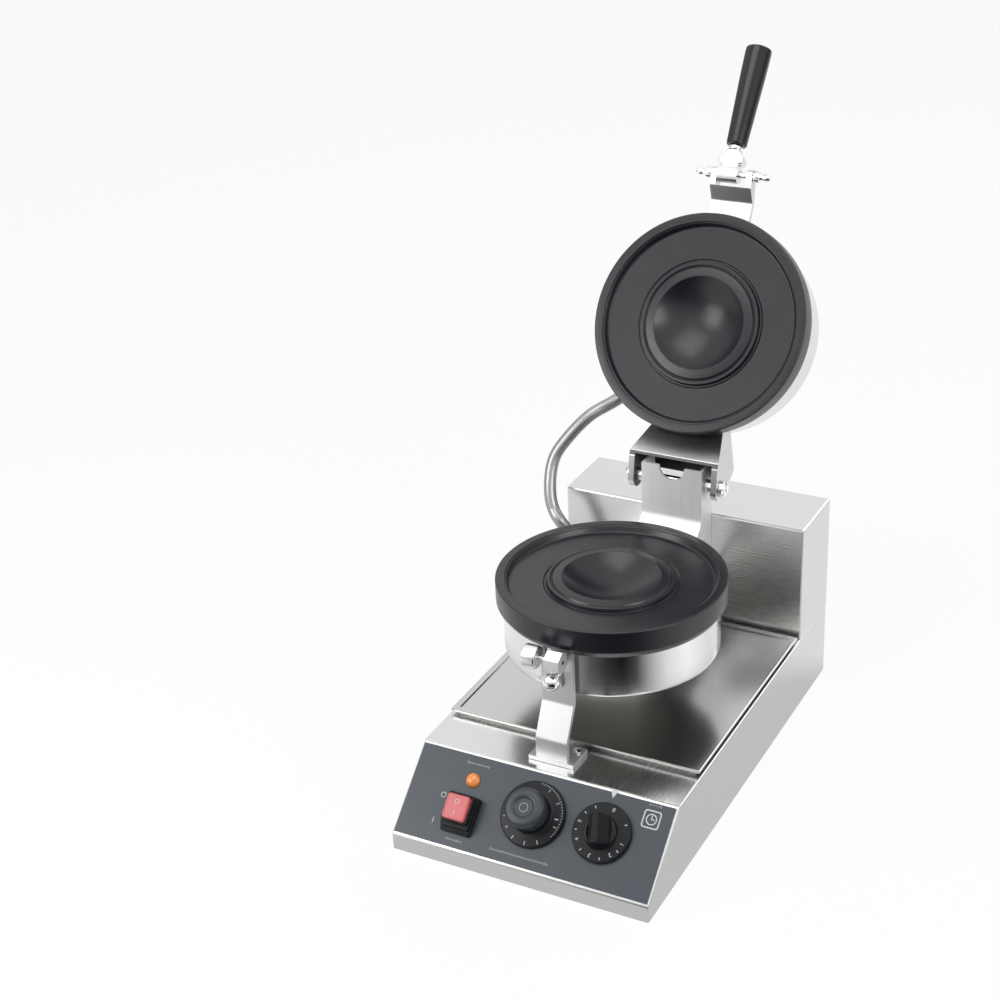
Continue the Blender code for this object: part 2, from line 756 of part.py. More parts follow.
def control_knobs():
    """The temperature knob and the timer knob on their shafts, and the parts they turn."""
    top = TEMP_KNOB_H
    outline = [(0, top - TEMP_KNOB_DISH_D), (TEMP_KNOB_DISH_R, top - TEMP_KNOB_DISH_D),
               (TEMP_KNOB_DISH_R + TEMP_KNOB_DISH_D, top)]
    outline += arc(TEMP_KNOB_TOP_R - TEMP_KNOB_EDGE, top - TEMP_KNOB_EDGE, TEMP_KNOB_EDGE, 90, 0, 4)
    outline += [(TEMP_KNOB_FOOT_R - DIAL_EDGE, DIAL_H + DIAL_EDGE), (TEMP_KNOB_FOOT_R, DIAL_H),
                (DIAL_R - DIAL_EDGE, DIAL_H), (DIAL_R, DIAL_H - DIAL_EDGE), (DIAL_R, 0)]
    stem = panel_front() + SHEET + 3 * GAP
    outline += [(SHAFT_R, 0), (SHAFT_R, -stem), (0, -stem)]
    seat = panel_front() + GAP
    temp = empty("temperature_axis", panel_place(TEMP_X, TEMP_UP, seat))
    put("temperature_knob", turned_mesh("temperature_knob", outline, 40), black(), parent=temp)
    outline = [(0, TIMER_HUB_H), (TIMER_HUB_R - DIAL_EDGE, TIMER_HUB_H),
               (TIMER_HUB_R, TIMER_HUB_H - DIAL_EDGE), (TIMER_HUB_R + DIAL_EDGE, DIAL_H),
               (TIMER_DIAL_R - DIAL_EDGE, DIAL_H), (TIMER_DIAL_R, DIAL_H - DIAL_EDGE),
               (TIMER_DIAL_R, 0), (SHAFT_R, 0), (SHAFT_R, -stem), (0, -stem)]
    timer = empty("timer_axis", panel_place(TIMER_X, TIMER_UP, seat))
    knob = put("timer_knob", turned_mesh("timer_knob", outline, 40), black(), parent=timer)
    half, roof = BLADE_FOOT_W / 2, BLADE_TOP_W / 2
    section = [(-half, DIAL_H), (half, DIAL_H), (half, BLADE_SHOULDER_H), (roof, BLADE_H),
               (-roof, BLADE_H), (-half, BLADE_SHOULDER_H)]
    blade = put("timer_blade", front_mesh("timer_blade", section, 4 * BLADE_R, 0), None, timer,
                turn(BLADE_TURN, "Z"), cutter=True)
    drum = put("blade_drum", rod_mesh("blade_drum", BLADE_R, BLADE_H + OVERRUN, steps=40), None, timer,
               cutter=True)
    combine(blade, drum, "INTERSECT")
    combine(knob, blade, "UNION")
    for name, x, up, width, height in (
            ("thermostat_body", TEMP_X, TEMP_UP, THERMOSTAT_W, THERMOSTAT_H),
            ("timer_body", TIMER_X, TIMER_UP, TIMER_BODY_W, TIMER_BODY_H)):
        body = put(name, block_mesh(name, (width, width, height), (0, 0, -height / 2)), steel(),
                   place=panel_place(x, up, -SHEET - GAP))
        bore = rod_mesh(name + "_bore", SHAFT_R + GAP, 2 * OVERRUN, at(0, 0, -OVERRUN))
        cut(body, name + "_bore", bore, place=panel_place(x, up, -SHEET))


def drip_tray():
    """The shallow lift-out tray under the plates: a rim that overhangs a lower foot."""
    width = BASE_W - 2 * TRAY_SIDE_GAP
    front = PAN_FRONT_Y - BRACKET_FOOT_REACH + BRACKET_FOOT_D + TRAY_TO_BRACKET
    back = STEP_Y - TRAY_REAR_GAP
    middle = (front + back) / 2
    low = DECK_Z + GAP
    rim_low = low + TRAY_H - TRAY_RIM_T
    item = put("drip_tray", block_mesh("drip_tray", (width, back - front, TRAY_RIM_T),
                                       (0, middle, rim_low + TRAY_RIM_T / 2)), steel())
    bevel(item, TRAY_EDGE, 2)
    foot_h = TRAY_H - TRAY_RIM_T / 2
    foot = (width - 2 * TRAY_FOOT_IN, back - front - 2 * TRAY_FOOT_IN, foot_h)
    add(item, "tray_foot", block_mesh("tray_foot", foot, (0, middle, low + foot_h / 2)))
    dip = (width - 2 * TRAY_BORDER, back - front - 2 * TRAY_BORDER, TRAY_DIP * 2)
    cut(item, "tray_dip", block_mesh("tray_dip", dip, (0, middle, low + TRAY_H)))


def plate_profile():
    """Half the section of a hot plate, its rim at zero and its back below."""
    sag = BOWL_DEPTH - BOWL_LIP_DEPTH
    sphere_r = (BOWL_R ** 2 + sag ** 2) / (2 * sag)
    reach = math.degrees(math.asin(BOWL_R / sphere_r))
    bowl = arc(0, sphere_r - BOWL_DEPTH, sphere_r, -90, -90 + reach, 8)
    bowl[0] = (0, -BOWL_DEPTH)
    ring = [(BOWL_R + PLATE_EDGE_R, -BOWL_LIP_DEPTH), (BOWL_R + BAND_OUT, -BAND_DEPTH),
            (BOWL_R + GROOVE_OUT, -GROOVE_DEPTH), (BOWL_R + CREST_IN_OUT, -CREST_DEPTH),
            (BOWL_R + CREST_OUT, -CREST_DEPTH), (BOWL_R + RING_FOOT_OUT, -FLOOR_DEPTH)]
    wall = [(PLATE_R - FLOOR_IN, -FLOOR_DEPTH), (PLATE_R - COVE_FOOT_IN, -COVE_FOOT_H),
            (PLATE_R - WALL_COVE_IN, -WALL_COVE_H), (PLATE_R - WALL_STEP_IN, -WALL_STEP_H),
            (PLATE_R - RIM_IN, 0)]
    side = [(PLATE_R - PLATE_EDGE_R, 0), (PLATE_R, -PLATE_EDGE_R), (PLATE_R, -PLATE_SIDE_H),
            (PLATE_R - PLATE_FOOT_IN, -PLATE_T), (0, -PLATE_T)]
    return bowl + ring + wall + side


def pan_profile():
    """Half the section of a pan, its rim at zero and its closed floor below."""
    inner = PAN_R - SHEET
    outer_bend = arc(PAN_R - PAN_BEND_R, PAN_BEND_R - PAN_H, PAN_BEND_R, 0, -90, 4)
    return [(inner, 0), (PAN_R, 0)] + outer_bend + [(0, -PAN_H), (0, SHEET - PAN_H),
                                                   (inner, SHEET - PAN_H)]


def pan_mesh(name):
    """A pan turned with its mouth at zero; the line starts and ends on the axis."""
    outline = pan_profile()
    start = outline.index((0, SHEET - PAN_H))
    ordered = outline[start:] + outline[:start]
    return turned_mesh(name, ordered)


def heater_mesh(name):
    """The ring of heating tube and its two terminals, which hang below it."""
    form = bmesh.new()
    ring_steps, tube_steps = 40, 8
    rows = []
    for i in range(ring_steps):
        angle = math.tau * i / ring_steps
        row = []
        for j in range(tube_steps):
            spin = math.tau * j / tube_steps
            radius = PAN_R * HEATER_SHARE + HEATER_TUBE_R * math.cos(spin)
            row.append(form.verts.new((radius * math.cos(angle), radius * math.sin(angle),
                                       HEATER_TUBE_R * math.sin(spin))))
        rows.append(row)
    for i in range(ring_steps):
        after = rows[(i + 1) % ring_steps]
        for j in range(tube_steps):
            k = (j + 1) % tube_steps
            form.faces.new((rows[i][j], after[j], after[k], rows[i][k]))
    bmesh.ops.recalc_face_normals(form, faces=form.faces)
    mesh = bpy.data.meshes.new(name)
    form.to_mesh(mesh)
    form.free()
    smooth(mesh)
    return mesh


def hot_half(prefix, place, parent=None):
    """A plate, its pan and the heating parts between, with the rim plane at zero."""
    put(prefix + "_plate", turned_mesh(prefix + "_plate", plate_profile()), coating(),
        parent, place)
    pan = put(prefix + "_housing", pan_mesh(prefix + "_housing"), steel(), parent,
              place @ at(0, 0, -PLATE_T - GAP))
    heater_z = -PLATE_T - GAP - HEATER_TUBE_R
    heater = put(prefix + "_heater", heater_mesh(prefix + "_heater"), steel(), parent,
                 place @ at(0, 0, heater_z))
    for side in (-1, 1):
        stem = rod_mesh("terminal", TERMINAL_R, TERMINAL_L,
                        at(side * TERMINAL_SPACING / 2, PAN_R * HEATER_SHARE, -TERMINAL_L))
        add(heater, prefix + "_terminal", stem, parent, place @ at(0, 0, heater_z))
    clamp_z = heater_z - HEATER_TUBE_R - GAP - CLAMP_T / 2
    put(prefix + "_heater_clamp",
        block_mesh(prefix + "_heater_clamp", (2 * PAN_R * CLAMP_SHARE, CLAMP_W, CLAMP_T),
                   (0, 0, clamp_z)),
        steel(), parent, place)
    floor_z = -PLATE_T - GAP - PAN_H + SHEET + GAP
    put(prefix + "_insulation",
        rod_mesh(prefix + "_insulation", PAN_R - SHEET - BEND_R, INSULATION_T,
                 at(0, 0, floor_z), ROUND_STEPS), wool(), parent, place)
    return pan


def lower_half():
    """The lower plate and pan, the thermostat's bulb and the holes in the pan."""
    place = at(0, PLATE_Y, PARTING_Z)
    pan = hot_half("lower", place)
    along_y = turn(math.radians(90), "X")
    cut(pan, "ball_stud_hole", rod_mesh("ball_stud_hole", BALL_STUD_R + GAP, 2 * OVERRUN),
        place=at(BRACKET_X, PLATE_Y - PAN_R + OVERRUN, BALL_Z) @ along_y)
    cut(pan, "sleeve_in_hole", rod_mesh("sleeve_in_hole", SLEEVE_R + GAP, 3 * OVERRUN),
        place=at(0, PLATE_Y + PAN_R + OVERRUN, SLEEVE_Z) @ along_y)
    bulb_z = PLATE_BACK_Z - GAP - BULB_R
    put("thermostat_bulb", rod_mesh("thermostat_bulb", BULB_R, BULB_L), cast(),
        place=at(BULB_X, PLATE_Y + BULB_L / 2, bulb_z) @ along_y)


def bracket_screw_y():
    return PAN_FRONT_Y - BRACKET_FOOT_REACH + BRACKET_SCREW_BACK


def front_bracket():
    """The cast bracket between the deck and the lower pan, its screws and its ball nut."""
    foot_y = PAN_FRONT_Y - BRACKET_FOOT_REACH
    foot_z = DECK_Z + GAP
    foot = block_mesh("front_bracket", (BRACKET_FOOT_W, BRACKET_FOOT_D, BRACKET_FOOT_T),
                      (BRACKET_X, foot_y + BRACKET_FOOT_D / 2, foot_z + BRACKET_FOOT_T / 2))
    item = put("front_bracket", foot, cast())
    low = PAN_FRONT_Y - BRACKET_LOW_REACH
    high = BRACKET_FRONT_Y
    knee_low = DECK_Z + BRACKET_KNEE_LOW_UP
    knee_high = DECK_Z + BRACKET_KNEE_HIGH_UP
    top = PARTING_Z - BRACKET_TOP_BELOW
    front = [(low, foot_z + GAP), (low, knee_low), (high, knee_high), (high, top)]
    slope = math.atan2(knee_high - knee_low, high - low)
    shift = BRACKET_T * math.tan((math.pi / 2 - slope) / 2)
    back = [(high + BRACKET_T, top), (high + BRACKET_T, knee_high - shift),
            (low + BRACKET_T, knee_low - shift), (low + BRACKET_T, foot_z + GAP)]
    add(item, "bracket_strip", side_mesh("bracket_strip", front + back, BRACKET_W, BRACKET_X))
    notch_low = PARTING_Z - BRACKET_NOTCH_BELOW
    notch = [(BRACKET_X - BRACKET_NOTCH_IN, notch_low),
             (BRACKET_X + BRACKET_NOTCH_IN, notch_low),
             (BRACKET_X + BRACKET_NOTCH_OUT, top + OVERRUN),
             (BRACKET_X - BRACKET_NOTCH_OUT, top + OVERRUN)]
    cut(item, "bracket_notch", front_mesh("bracket_notch", notch, 4 * BRACKET_T,
                                          high + BRACKET_T / 2))
    along_y = turn(math.radians(90), "X")
    cut(item, "bracket_bolt_hole", rod_mesh("bracket_bolt_hole", BALL_STUD_R + GAP, 3 * BRACKET_T),
        place=at(BRACKET_X, high + 2 * BRACKET_T, BALL_Z) @ along_y)
    places = [at(BRACKET_X + side * BRACKET_SCREW_X, bracket_screw_y(),
                 foot_z + BRACKET_FOOT_T + GAP) for side in (-1, 1)]
    for place in places:
        cut(item, "bracket_screw_hole", rod_mesh("bracket_screw_hole", SCREW_R + GAP, 2 * SCREW_L),
            place=place @ at(0, 0, -SCREW_L))
    bevel(item, GAP * 2, 1)
    screw = turned_mesh("front_bracket_screw",
                        screw_profile(SCREW_HEAD_R, SCREW_HEAD_T, SCREW_R, SCREW_L), SMALL_STEPS)
    put_each("front_bracket_screw", screw, chrome(), places)
    ball_nut(high)


def ball_nut(strip_front):
    """The chrome ball head on its stud, which clamps keeper, strip and spacer to the pan."""
    seat = KEEPER_TAIL_T + 2 * GAP
    reach = PAN_FRONT_Y - strip_front + SHEET + 3 * GAP
    flat_angle = 60
    ball = arc(0, BALL_R * math.sin(math.radians(flat_angle)) + seat, BALL_R, 90, -flat_angle, 12)
    ball[0] = (0, ball[0][1])
    outline = ball + [(BALL_STUD_R, seat), (BALL_STUD_R, -reach), (0, -reach)]
    place = at(BRACKET_X, strip_front, BALL_Z) @ turn(math.radians(90), "X")
    put("bracket_ball_bolt", turned_mesh("bracket_ball_bolt", outline, 24), chrome(), place=place)
    tube_front = strip_front + BRACKET_T + GAP
    length = PAN_FRONT_Y - GAP - tube_front
    spacer = [(BALL_STUD_R + GAP, 0), (BALL_STUD_R + GAP, length), (BALL_R, length), (BALL_R, 0)]
    put("bracket_spacer", turned_mesh("bracket_spacer", spacer, 24), steel(),
        place=at(BRACKET_X, tube_front + length, BALL_Z) @ turn(math.radians(90), "X"))


def keeper():
    """The cast keeper, its pin and the round knob at the pin's far end."""
    strip_front = BRACKET_FRONT_Y
    tail_low = PARTING_Z - KEEPER_TAIL_BELOW
    tail_y = strip_front - GAP - KEEPER_TAIL_T / 2
    tail_top = KEEPER_Z
    item = put("latch_keeper", block_mesh(
        "latch_keeper", (KEEPER_TAIL_W, KEEPER_TAIL_T, tail_top - tail_low),
        (BRACKET_X, tail_y, (tail_top + tail_low) / 2)), cast())
    head_y = strip_front - GAP - KEEPER_R
    along_x = turn(math.radians(90), "Y")
    head = rod_mesh("keeper_head", KEEPER_R, KEEPER_L, at(0, 0, -KEEPER_L / 2), 6)
    add(item, "keeper_head", head, place=at(KEEPER_X, head_y, KEEPER_Z) @ along_x)
    along_y = turn(math.radians(90), "X")
    cut(item, "keeper_bolt_hole", rod_mesh("keeper_bolt_hole", BALL_STUD_R + GAP, 3 * BRACKET_T),
        place=at(BRACKET_X, strip_front + BRACKET_T, BALL_Z) @ along_y)
    knob_side = KNOB_CENTER_X - KEEPER_L / 2
    span = KEEPER_X + KEEPER_L / 2 - knob_side
    axis = at(knob_side, head_y, KEEPER_Z) @ along_x
    cut(item, "keeper_pin_hole", rod_mesh("keeper_pin_hole", KEEPER_PIN_R + GAP, 2 * span,
                                          at(0, 0, -OVERRUN)), place=axis)
    bevel(item, GAP * 2, 1)
    put("latch_pin", rod_mesh("latch_pin", KEEPER_PIN_R, span), chrome(), place=axis)
    edge = KEEPER_PIN_R / 2
    bore = KEEPER_PIN_R + GAP
    knob = [(bore, KEEPER_L), (KEEPER_R - edge, KEEPER_L), (KEEPER_R, KEEPER_L - edge),
            (KEEPER_R, edge), (KEEPER_R - edge, 0), (bore, 0)]
    put("latch_knob", turned_mesh("latch_knob", knob, 24), cast(), place=axis)


def hinge_bracket():
    """The folded channel that carries the lid's bolt and holds the back of the lower pan."""
    front = HINGE_Y - CHANNEL_REACH
    back = STEP_Y - GAP
    top = HINGE_Z + CHANNEL_ABOVE
    knee = HINGE_Z - CHANNEL_KNEE_BELOW
    foot_high = HINGE_Z - CHANNEL_FOOT_BELOW
    rear_low = HINGE_Z - CHANNEL_REAR_BELOW
    foot = PLATE_Y + PAN_R + GAP
    thick = CHANNEL_T
    foot_low = foot_high - CHANNEL_FOOT_H
    outline = [(front, top), (front, knee), (foot, foot_high),
               (foot, foot_low), (foot + thick, foot_low), (back, rear_low),
               (back, top)]
    item = put("hinge_bracket", side_mesh("hinge_bracket", outline, CHANNEL_W), steel())
    lean = math.atan2(knee - foot_high, front - foot)
    shift = thick * math.tan((math.pi / 2 - lean) / 2)
    inner = [(front + thick, top + OVERRUN), (front + thick, knee - shift),
             (foot + thick, foot_high - shift), (foot + thick, rear_low - OVERRUN),
             (back + OVERRUN, rear_low - OVERRUN), (back + OVERRUN, top + OVERRUN)]
    cut(item, "channel_inside", side_mesh("channel_inside", inner, CHANNEL_W - 2 * thick))
    notch = arc(0, top - NOTCH_DROP, NOTCH_R, 180, 360, 12)
    notch += [(NOTCH_R, top + OVERRUN), (-NOTCH_R, top + OVERRUN)]
    cut(item, "channel_notch", front_mesh("channel_notch", notch, 4 * thick, front))
    along_x = turn(math.radians(90), "Y")
    cut(item, "channel_bore", rod_mesh("channel_bore", HINGE_BOLT_R + GAP, 2 * CHANNEL_W,
                                       at(0, 0, -CHANNEL_W)),
        place=at(0, HINGE_Y, HINGE_Z) @ along_x)
    bevel(item, GAP * 2, 1)


def hinge_bolt():
    """The bolt that the lid turns on, its nut and the spacers beside the channel."""
    along_x = turn(math.radians(90), "Y")
    outer = ARM_EAR_X + GAP
    place = at(-outer, HINGE_Y, HINGE_Z) @ along_x
    nut_start = 2 * outer + GAP
    shaft = rod_mesh("hinge_bolt", HINGE_BOLT_R, nut_start + BOLT_HEAD_T)
    item = put("hinge_bolt", shaft, chrome(), place=place)
    head = rod_mesh("hinge_bolt_head", BOLT_HEAD_R, BOLT_HEAD_T, at(0, 0, -BOLT_HEAD_T), 24,
                    far_radius=BOLT_HEAD_R)
    add(item, "hinge_bolt_head", head, place=place)
    bore = HINGE_BOLT_R + GAP
    crown = BOLT_HEAD_T
    nut = [(bore, crown), (BOLT_HEAD_R * BOLT_CROWN_SHARE, crown),
           (BOLT_HEAD_R, crown * BOLT_EDGE_SHARE),
           (BOLT_HEAD_R, 0), (bore, 0)]
    put("hinge_nut", turned_mesh("hinge_nut", nut, 24), chrome(),
        place=place @ at(0, 0, nut_start - GAP))
    inside = ARM_EAR_X - ARM_EAR_T - CHANNEL_W / 2 - 2 * GAP
    ring = [(bore, inside), (SPACER_R, inside), (SPACER_R, 0), (bore, 0)]
    sleeve = turned_mesh("sleeve", ring, SMALL_STEPS)
    places = [at(start, HINGE_Y, HINGE_Z) @ along_x
              for start in (CHANNEL_W / 2 + GAP, -CHANNEL_W / 2 - GAP - inside)]
    put_each("hinge_spacer", sleeve, steel(), places)


def arm_wedge(name, half_front, half_back, reach):
    """The arm's taper as seen from above: wide at the hinge, narrower at the pan."""
    front, back = 2 * ARM_BOSS_R, -reach - 2 * OVERRUN
    right = [(half_front, front), (half_front, -ARM_LIP_R), (half_back, -reach),
             (half_back, back)]
    left = [(-across, along) for across, along in reversed(right)]
    return flat_mesh(name, right + left, 4 * ARM_BACK_LIFT)


def lid_arm(axis):
    """The cast box arm of the lid: a sloping web, a back wall and two cheeks with the bores."""
    up = -HINGE_UP
    reach = HINGE_BACK - math.sqrt(PAN_R ** 2 - ARM_HEAD_X ** 2)
    slope = (ARM_TOP_LIFT - ARM_LIP_LIFT) / (HINGE_BACK - PAN_R - ARM_LIP_R)
    lip = (-ARM_LIP_R, up + ARM_LIP_LIFT)
    top = (-reach, lip[1] + slope * (reach - ARM_LIP_R))
    high = up + ARM_BACK_LIFT
    cheek = [lip, (-ARM_LIP_R + ARM_LIP_RETURN, lip[1])]
    cheek += arc(0, 0, ARM_BOSS_R, -60, 100, 8)
    end = (-ARM_BACK_END, ARM_BACK_END_LIFT)
    bend = (-ARM_BACK_R, high)
    cheek += [end, bend, (-reach, high), top]
    item = put("lid_arm", side_mesh("lid_arm", cheek, 2 * ARM_EAR_X), cast(), axis)
    outside = put("arm_outside", arm_wedge("arm_outside", ARM_EAR_X, ARM_HEAD_X, reach), None,
                  axis, cutter=True)
    combine(item, outside, "INTERSECT")
    lean = math.atan(slope)
    drop_y = ARM_WEB_T * math.sin(lean)
    drop_z = ARM_WEB_T * math.cos(lean)
    floor, roof, front = lip[1] - 2 * ARM_BOSS_R, high + OVERRUN, 3 * ARM_BOSS_R
    fall = math.atan2(bend[1] - end[1], end[0] - bend[0])
    end_in = (end[0] - ARM_BACK_T * math.sin(fall), end[1] - ARM_BACK_T * math.cos(fall))
    bend_in = (bend[0] - ARM_BACK_T * math.tan(fall / 2), high - ARM_BACK_T)
    pocket = [(lip[0] + drop_y, floor), (front, floor), (front, roof), (end[0], roof), end,
              end_in, bend_in, (top[0] + drop_y, high - ARM_BACK_T),
              (top[0] + drop_y, top[1] + drop_z), (lip[0] + drop_y, lip[1] + drop_z)]
    hollow = put("arm_pocket", side_mesh("arm_pocket", pocket, 3 * ARM_EAR_X), None, axis,
                 cutter=True)
    inside = put("arm_inside", arm_wedge("arm_inside", ARM_EAR_X - ARM_EAR_T,
                                         ARM_HEAD_X - ARM_EAR_T, reach), None, axis, cutter=True)
    combine(hollow, inside, "INTERSECT")
    combine(item, hollow, "DIFFERENCE")
    along_x = turn(math.radians(90), "Y")
    cut(item, "arm_bore", rod_mesh("arm_bore", HINGE_BOLT_R + GAP, 4 * ARM_EAR_X,
                                   at(0, 0, -2 * ARM_EAR_X)), axis, along_x)
    round_pan = rod_mesh("arm_pan", PAN_R + GAP, 2 * PAN_H, at(0, -HINGE_BACK, up), 2 * ROUND_STEPS)
    cut(item, "arm_pan", round_pan, axis)
    bevel(item, GAP * 2, 1)


def lid_bracket(axis):
    """The bracket at the front of the lid: a bent web and two ears for the cross bolt."""
    wall = -HINGE_BACK - PAN_R
    up = -HINGE_UP
    web_low = up + LUG_WEB_LIFT
    knee = EYE_Y + LUG_KNEE_BACK
    tip_y = EYE_Y + LUG_DROP_BACK
    tip_z = up + LUG_DROP_LIFT
    thick = LUG_WEB_T
    outline = [(wall + PAN_BEND_R, web_low + thick), (wall + PAN_BEND_R, web_low),
               (knee, web_low), (tip_y, tip_z)]
    outline += arc(EYE_Y, EYE_Z, LUG_EAR_D / 2, 270, 90, 9)
    outline.append((knee, web_low + thick))
    item = put("lid_bracket", side_mesh("lid_bracket", outline, 2 * LUG_HALF_W), cast(), axis)
    between = (2 * (LUG_HALF_W - LUG_EAR_T), 2 * LUG_DROP_BACK, 2 * LUG_EAR_D)
    cut(item, "lug_fork", block_mesh("lug_fork", between, (0, EYE_Y, EYE_Z)), axis)
    along_x = turn(math.radians(90), "Y")
    cut(item, "lug_bore", rod_mesh("lug_bore", CROSS_BOLT_R + GAP, 4 * LUG_HALF_W,
                                   at(0, 0, -2 * LUG_HALF_W)), axis,
        at(0, EYE_Y, EYE_Z) @ along_x)
    cut(item, "lug_pan", rod_mesh("lug_pan", PAN_R + GAP, 2 * PAN_H, at(0, -HINGE_BACK, up),
                                  2 * ROUND_STEPS), axis)
    bevel(item, GAP * 2, 1)


def cross_bolt(axis):
    """The bolt through the ears with pointed nuts at both ends."""
    along_x = turn(math.radians(90), "Y")
    reach = LUG_HALF_W + GAP + CROSS_NUT_L
    put("cross_bolt", rod_mesh("cross_bolt", CROSS_BOLT_R, 2 * reach, at(0, 0, -reach)), chrome(),
        axis, at(0, EYE_Y, EYE_Z) @ along_x)
    bore = CROSS_BOLT_R + GAP
    roof = CROSS_NUT_L + GAP
    outline = [(0, CROSS_NUT_L + CROSS_TIP_L)]
    outline += [(CROSS_POINT_R, CROSS_NUT_L + CROSS_TIP_L - CROSS_POINT_L)]
    outline += [(CROSS_TIP_R, CROSS_NUT_L + CROSS_TIP_L - CROSS_TAPER_L),
                (CROSS_TIP_R, CROSS_NUT_L), (CROSS_NUT_R, CROSS_NUT_L), (CROSS_NUT_R, 0),
                (bore, 0), (bore, roof), (0, roof)]
    nut = turned_mesh("cross_nut", outline, 18)
    start = LUG_HALF_W + GAP
    places = [at(start, EYE_Y, EYE_Z) @ along_x,
              at(-start, EYE_Y, EYE_Z) @ turn(math.radians(-90), "Y")]
    put_each("cross_bolt_nut", nut, chrome(), places, axis)


def handle(axis):
    """The cast yoke on the cross bolt, the rod in it, the ferrule and the black grip."""
    place = at(0, EYE_Y, EYE_Z) @ turn(-HANDLE_LEAN, "X")
    pivot = empty("handle_pivot", place, axis)
    along_x = turn(math.radians(90), "Y")
    hub = rod_mesh("yoke", YOKE_HUB_R, YOKE_HUB_W, at(0, 0, -YOKE_HUB_W / 2), 28)
    item = put("yoke", hub, cast(), pivot, at(YOKE_X, 0, 0) @ along_x)
    right = [(YOKE_HUB_W / 2 - YOKE_EDGE, 0), (YOKE_HUB_W / 2 - YOKE_EDGE, -YOKE_HUB_R),
             (YOKE_BODY_W / 2, -YOKE_HUB_R - YOKE_EDGE), (YOKE_BODY_W / 2, -YOKE_SHOULDER),
             (YOKE_NECK_W / 2, -YOKE_L + YOKE_EDGE), (YOKE_NECK_W / 2, -YOKE_L)]
    left = [(-across, along) for across, along in reversed(right)]
    body = put("yoke_body", flat_mesh("yoke_body", right + left, YOKE_BODY_T), None, pivot,
               at(YOKE_X, 0, 0), cutter=True)
    bevel(body, YOKE_EDGE, 2)
    combine(item, body, "UNION")
    bore = CROSS_BOLT_R + GAP
    cut(item, "yoke_bore", rod_mesh("yoke_bore", bore, 4 * YOKE_BODY_W,
                                    at(0, 0, -2 * YOKE_BODY_W)), pivot, along_x)
    out = turn(math.radians(90), "X")
    rod_start = ROD_START
    cut(item, "yoke_socket", rod_mesh("yoke_socket", ROD_R + GAP, YOKE_L), pivot,
        at(YOKE_X, -rod_start, 0) @ out)
    rod_l = GRIP_START + ROD_IN_GRIP - rod_start - GAP
    put("handle_rod", rod_mesh("handle_rod", ROD_R, rod_l), steel(), pivot,
        at(YOKE_X, -rod_start - GAP, 0) @ out)
    ferrule = [(GRIP_BORE_R, FERRULE_L), (FERRULE_END_R, FERRULE_L), (FERRULE_R, 0),
               (GRIP_BORE_R, 0)]
    put("ferrule", turned_mesh("ferrule", ferrule, 24), steel(), pivot,
        at(YOKE_X, -YOKE_L - GAP, 0) @ out)
    start = YOKE_L + FERRULE_L + 2 * GAP
    edge = GRIP_EDGE_R
    grip = [(0, GRIP_L)]
    grip += [(u, v) for u, v in arc(GRIP_TOP_R - edge, GRIP_L - edge, edge, 90, 0, 4)]
    grip += arc(GRIP_LOW_R - edge, edge, edge, 0, -90, 4)
    grip += [(GRIP_BORE_R, 0), (GRIP_BORE_R, ROD_IN_GRIP), (0, ROD_IN_GRIP)]
    put("handle_grip", turned_mesh("handle_grip", grip, 28), black(), pivot,
        at(YOKE_X, -start, 0) @ out)


def lid(axis):
    """The lid's plate and pan, turned over so that they face the lower ones."""
    place = at(0, -HINGE_BACK, LID_RIM) @ turn(math.radians(180), "X")
    pan = hot_half("lid", place, axis)
    cut(pan, "gland_hole", rod_mesh("gland_hole", GLAND_STEM_R + GAP, 4 * OVERRUN,
                                    at(0, 0, -2 * OVERRUN)), axis, lid_gland_place())
    lid_arm(axis)
    lid_bracket(axis)
    cross_bolt(axis)
    gland("lid_gland", axis, lid_gland_place() @ at(0, 0, GAP))
    handle(axis)


def lid_gland_place():
    """Where the conduit meets the lid's pan: Z points out of the wall."""
    center = at(0, -HINGE_BACK, LID_GLAND_LIFT - HINGE_UP)
    return center @ turn(LID_GLAND_ANGLE, "Z") @ at(PAN_R, 0, 0) @ turn(math.radians(90), "Y")


def gland(name, parent, place):
    """A cable gland: a nut outside the wall and a stem through it, with the conduit's seat."""
    seat = CONDUIT_R + GAP
    outline = [(GLAND_R - GLAND_EDGE, GLAND_L), (GLAND_R, GLAND_L - GLAND_EDGE), (GLAND_R, 0),
               (GLAND_STEM_R, 0), (GLAND_STEM_R, -GLAND_STEM_L / 2),
               (GLAND_BORE_R, -GLAND_STEM_L / 2), (GLAND_BORE_R, GLAND_L / 2),
               (seat, GLAND_L / 2), (seat, GLAND_L)]
    put(name, turned_mesh(name, outline, 24), chrome(), parent, place)


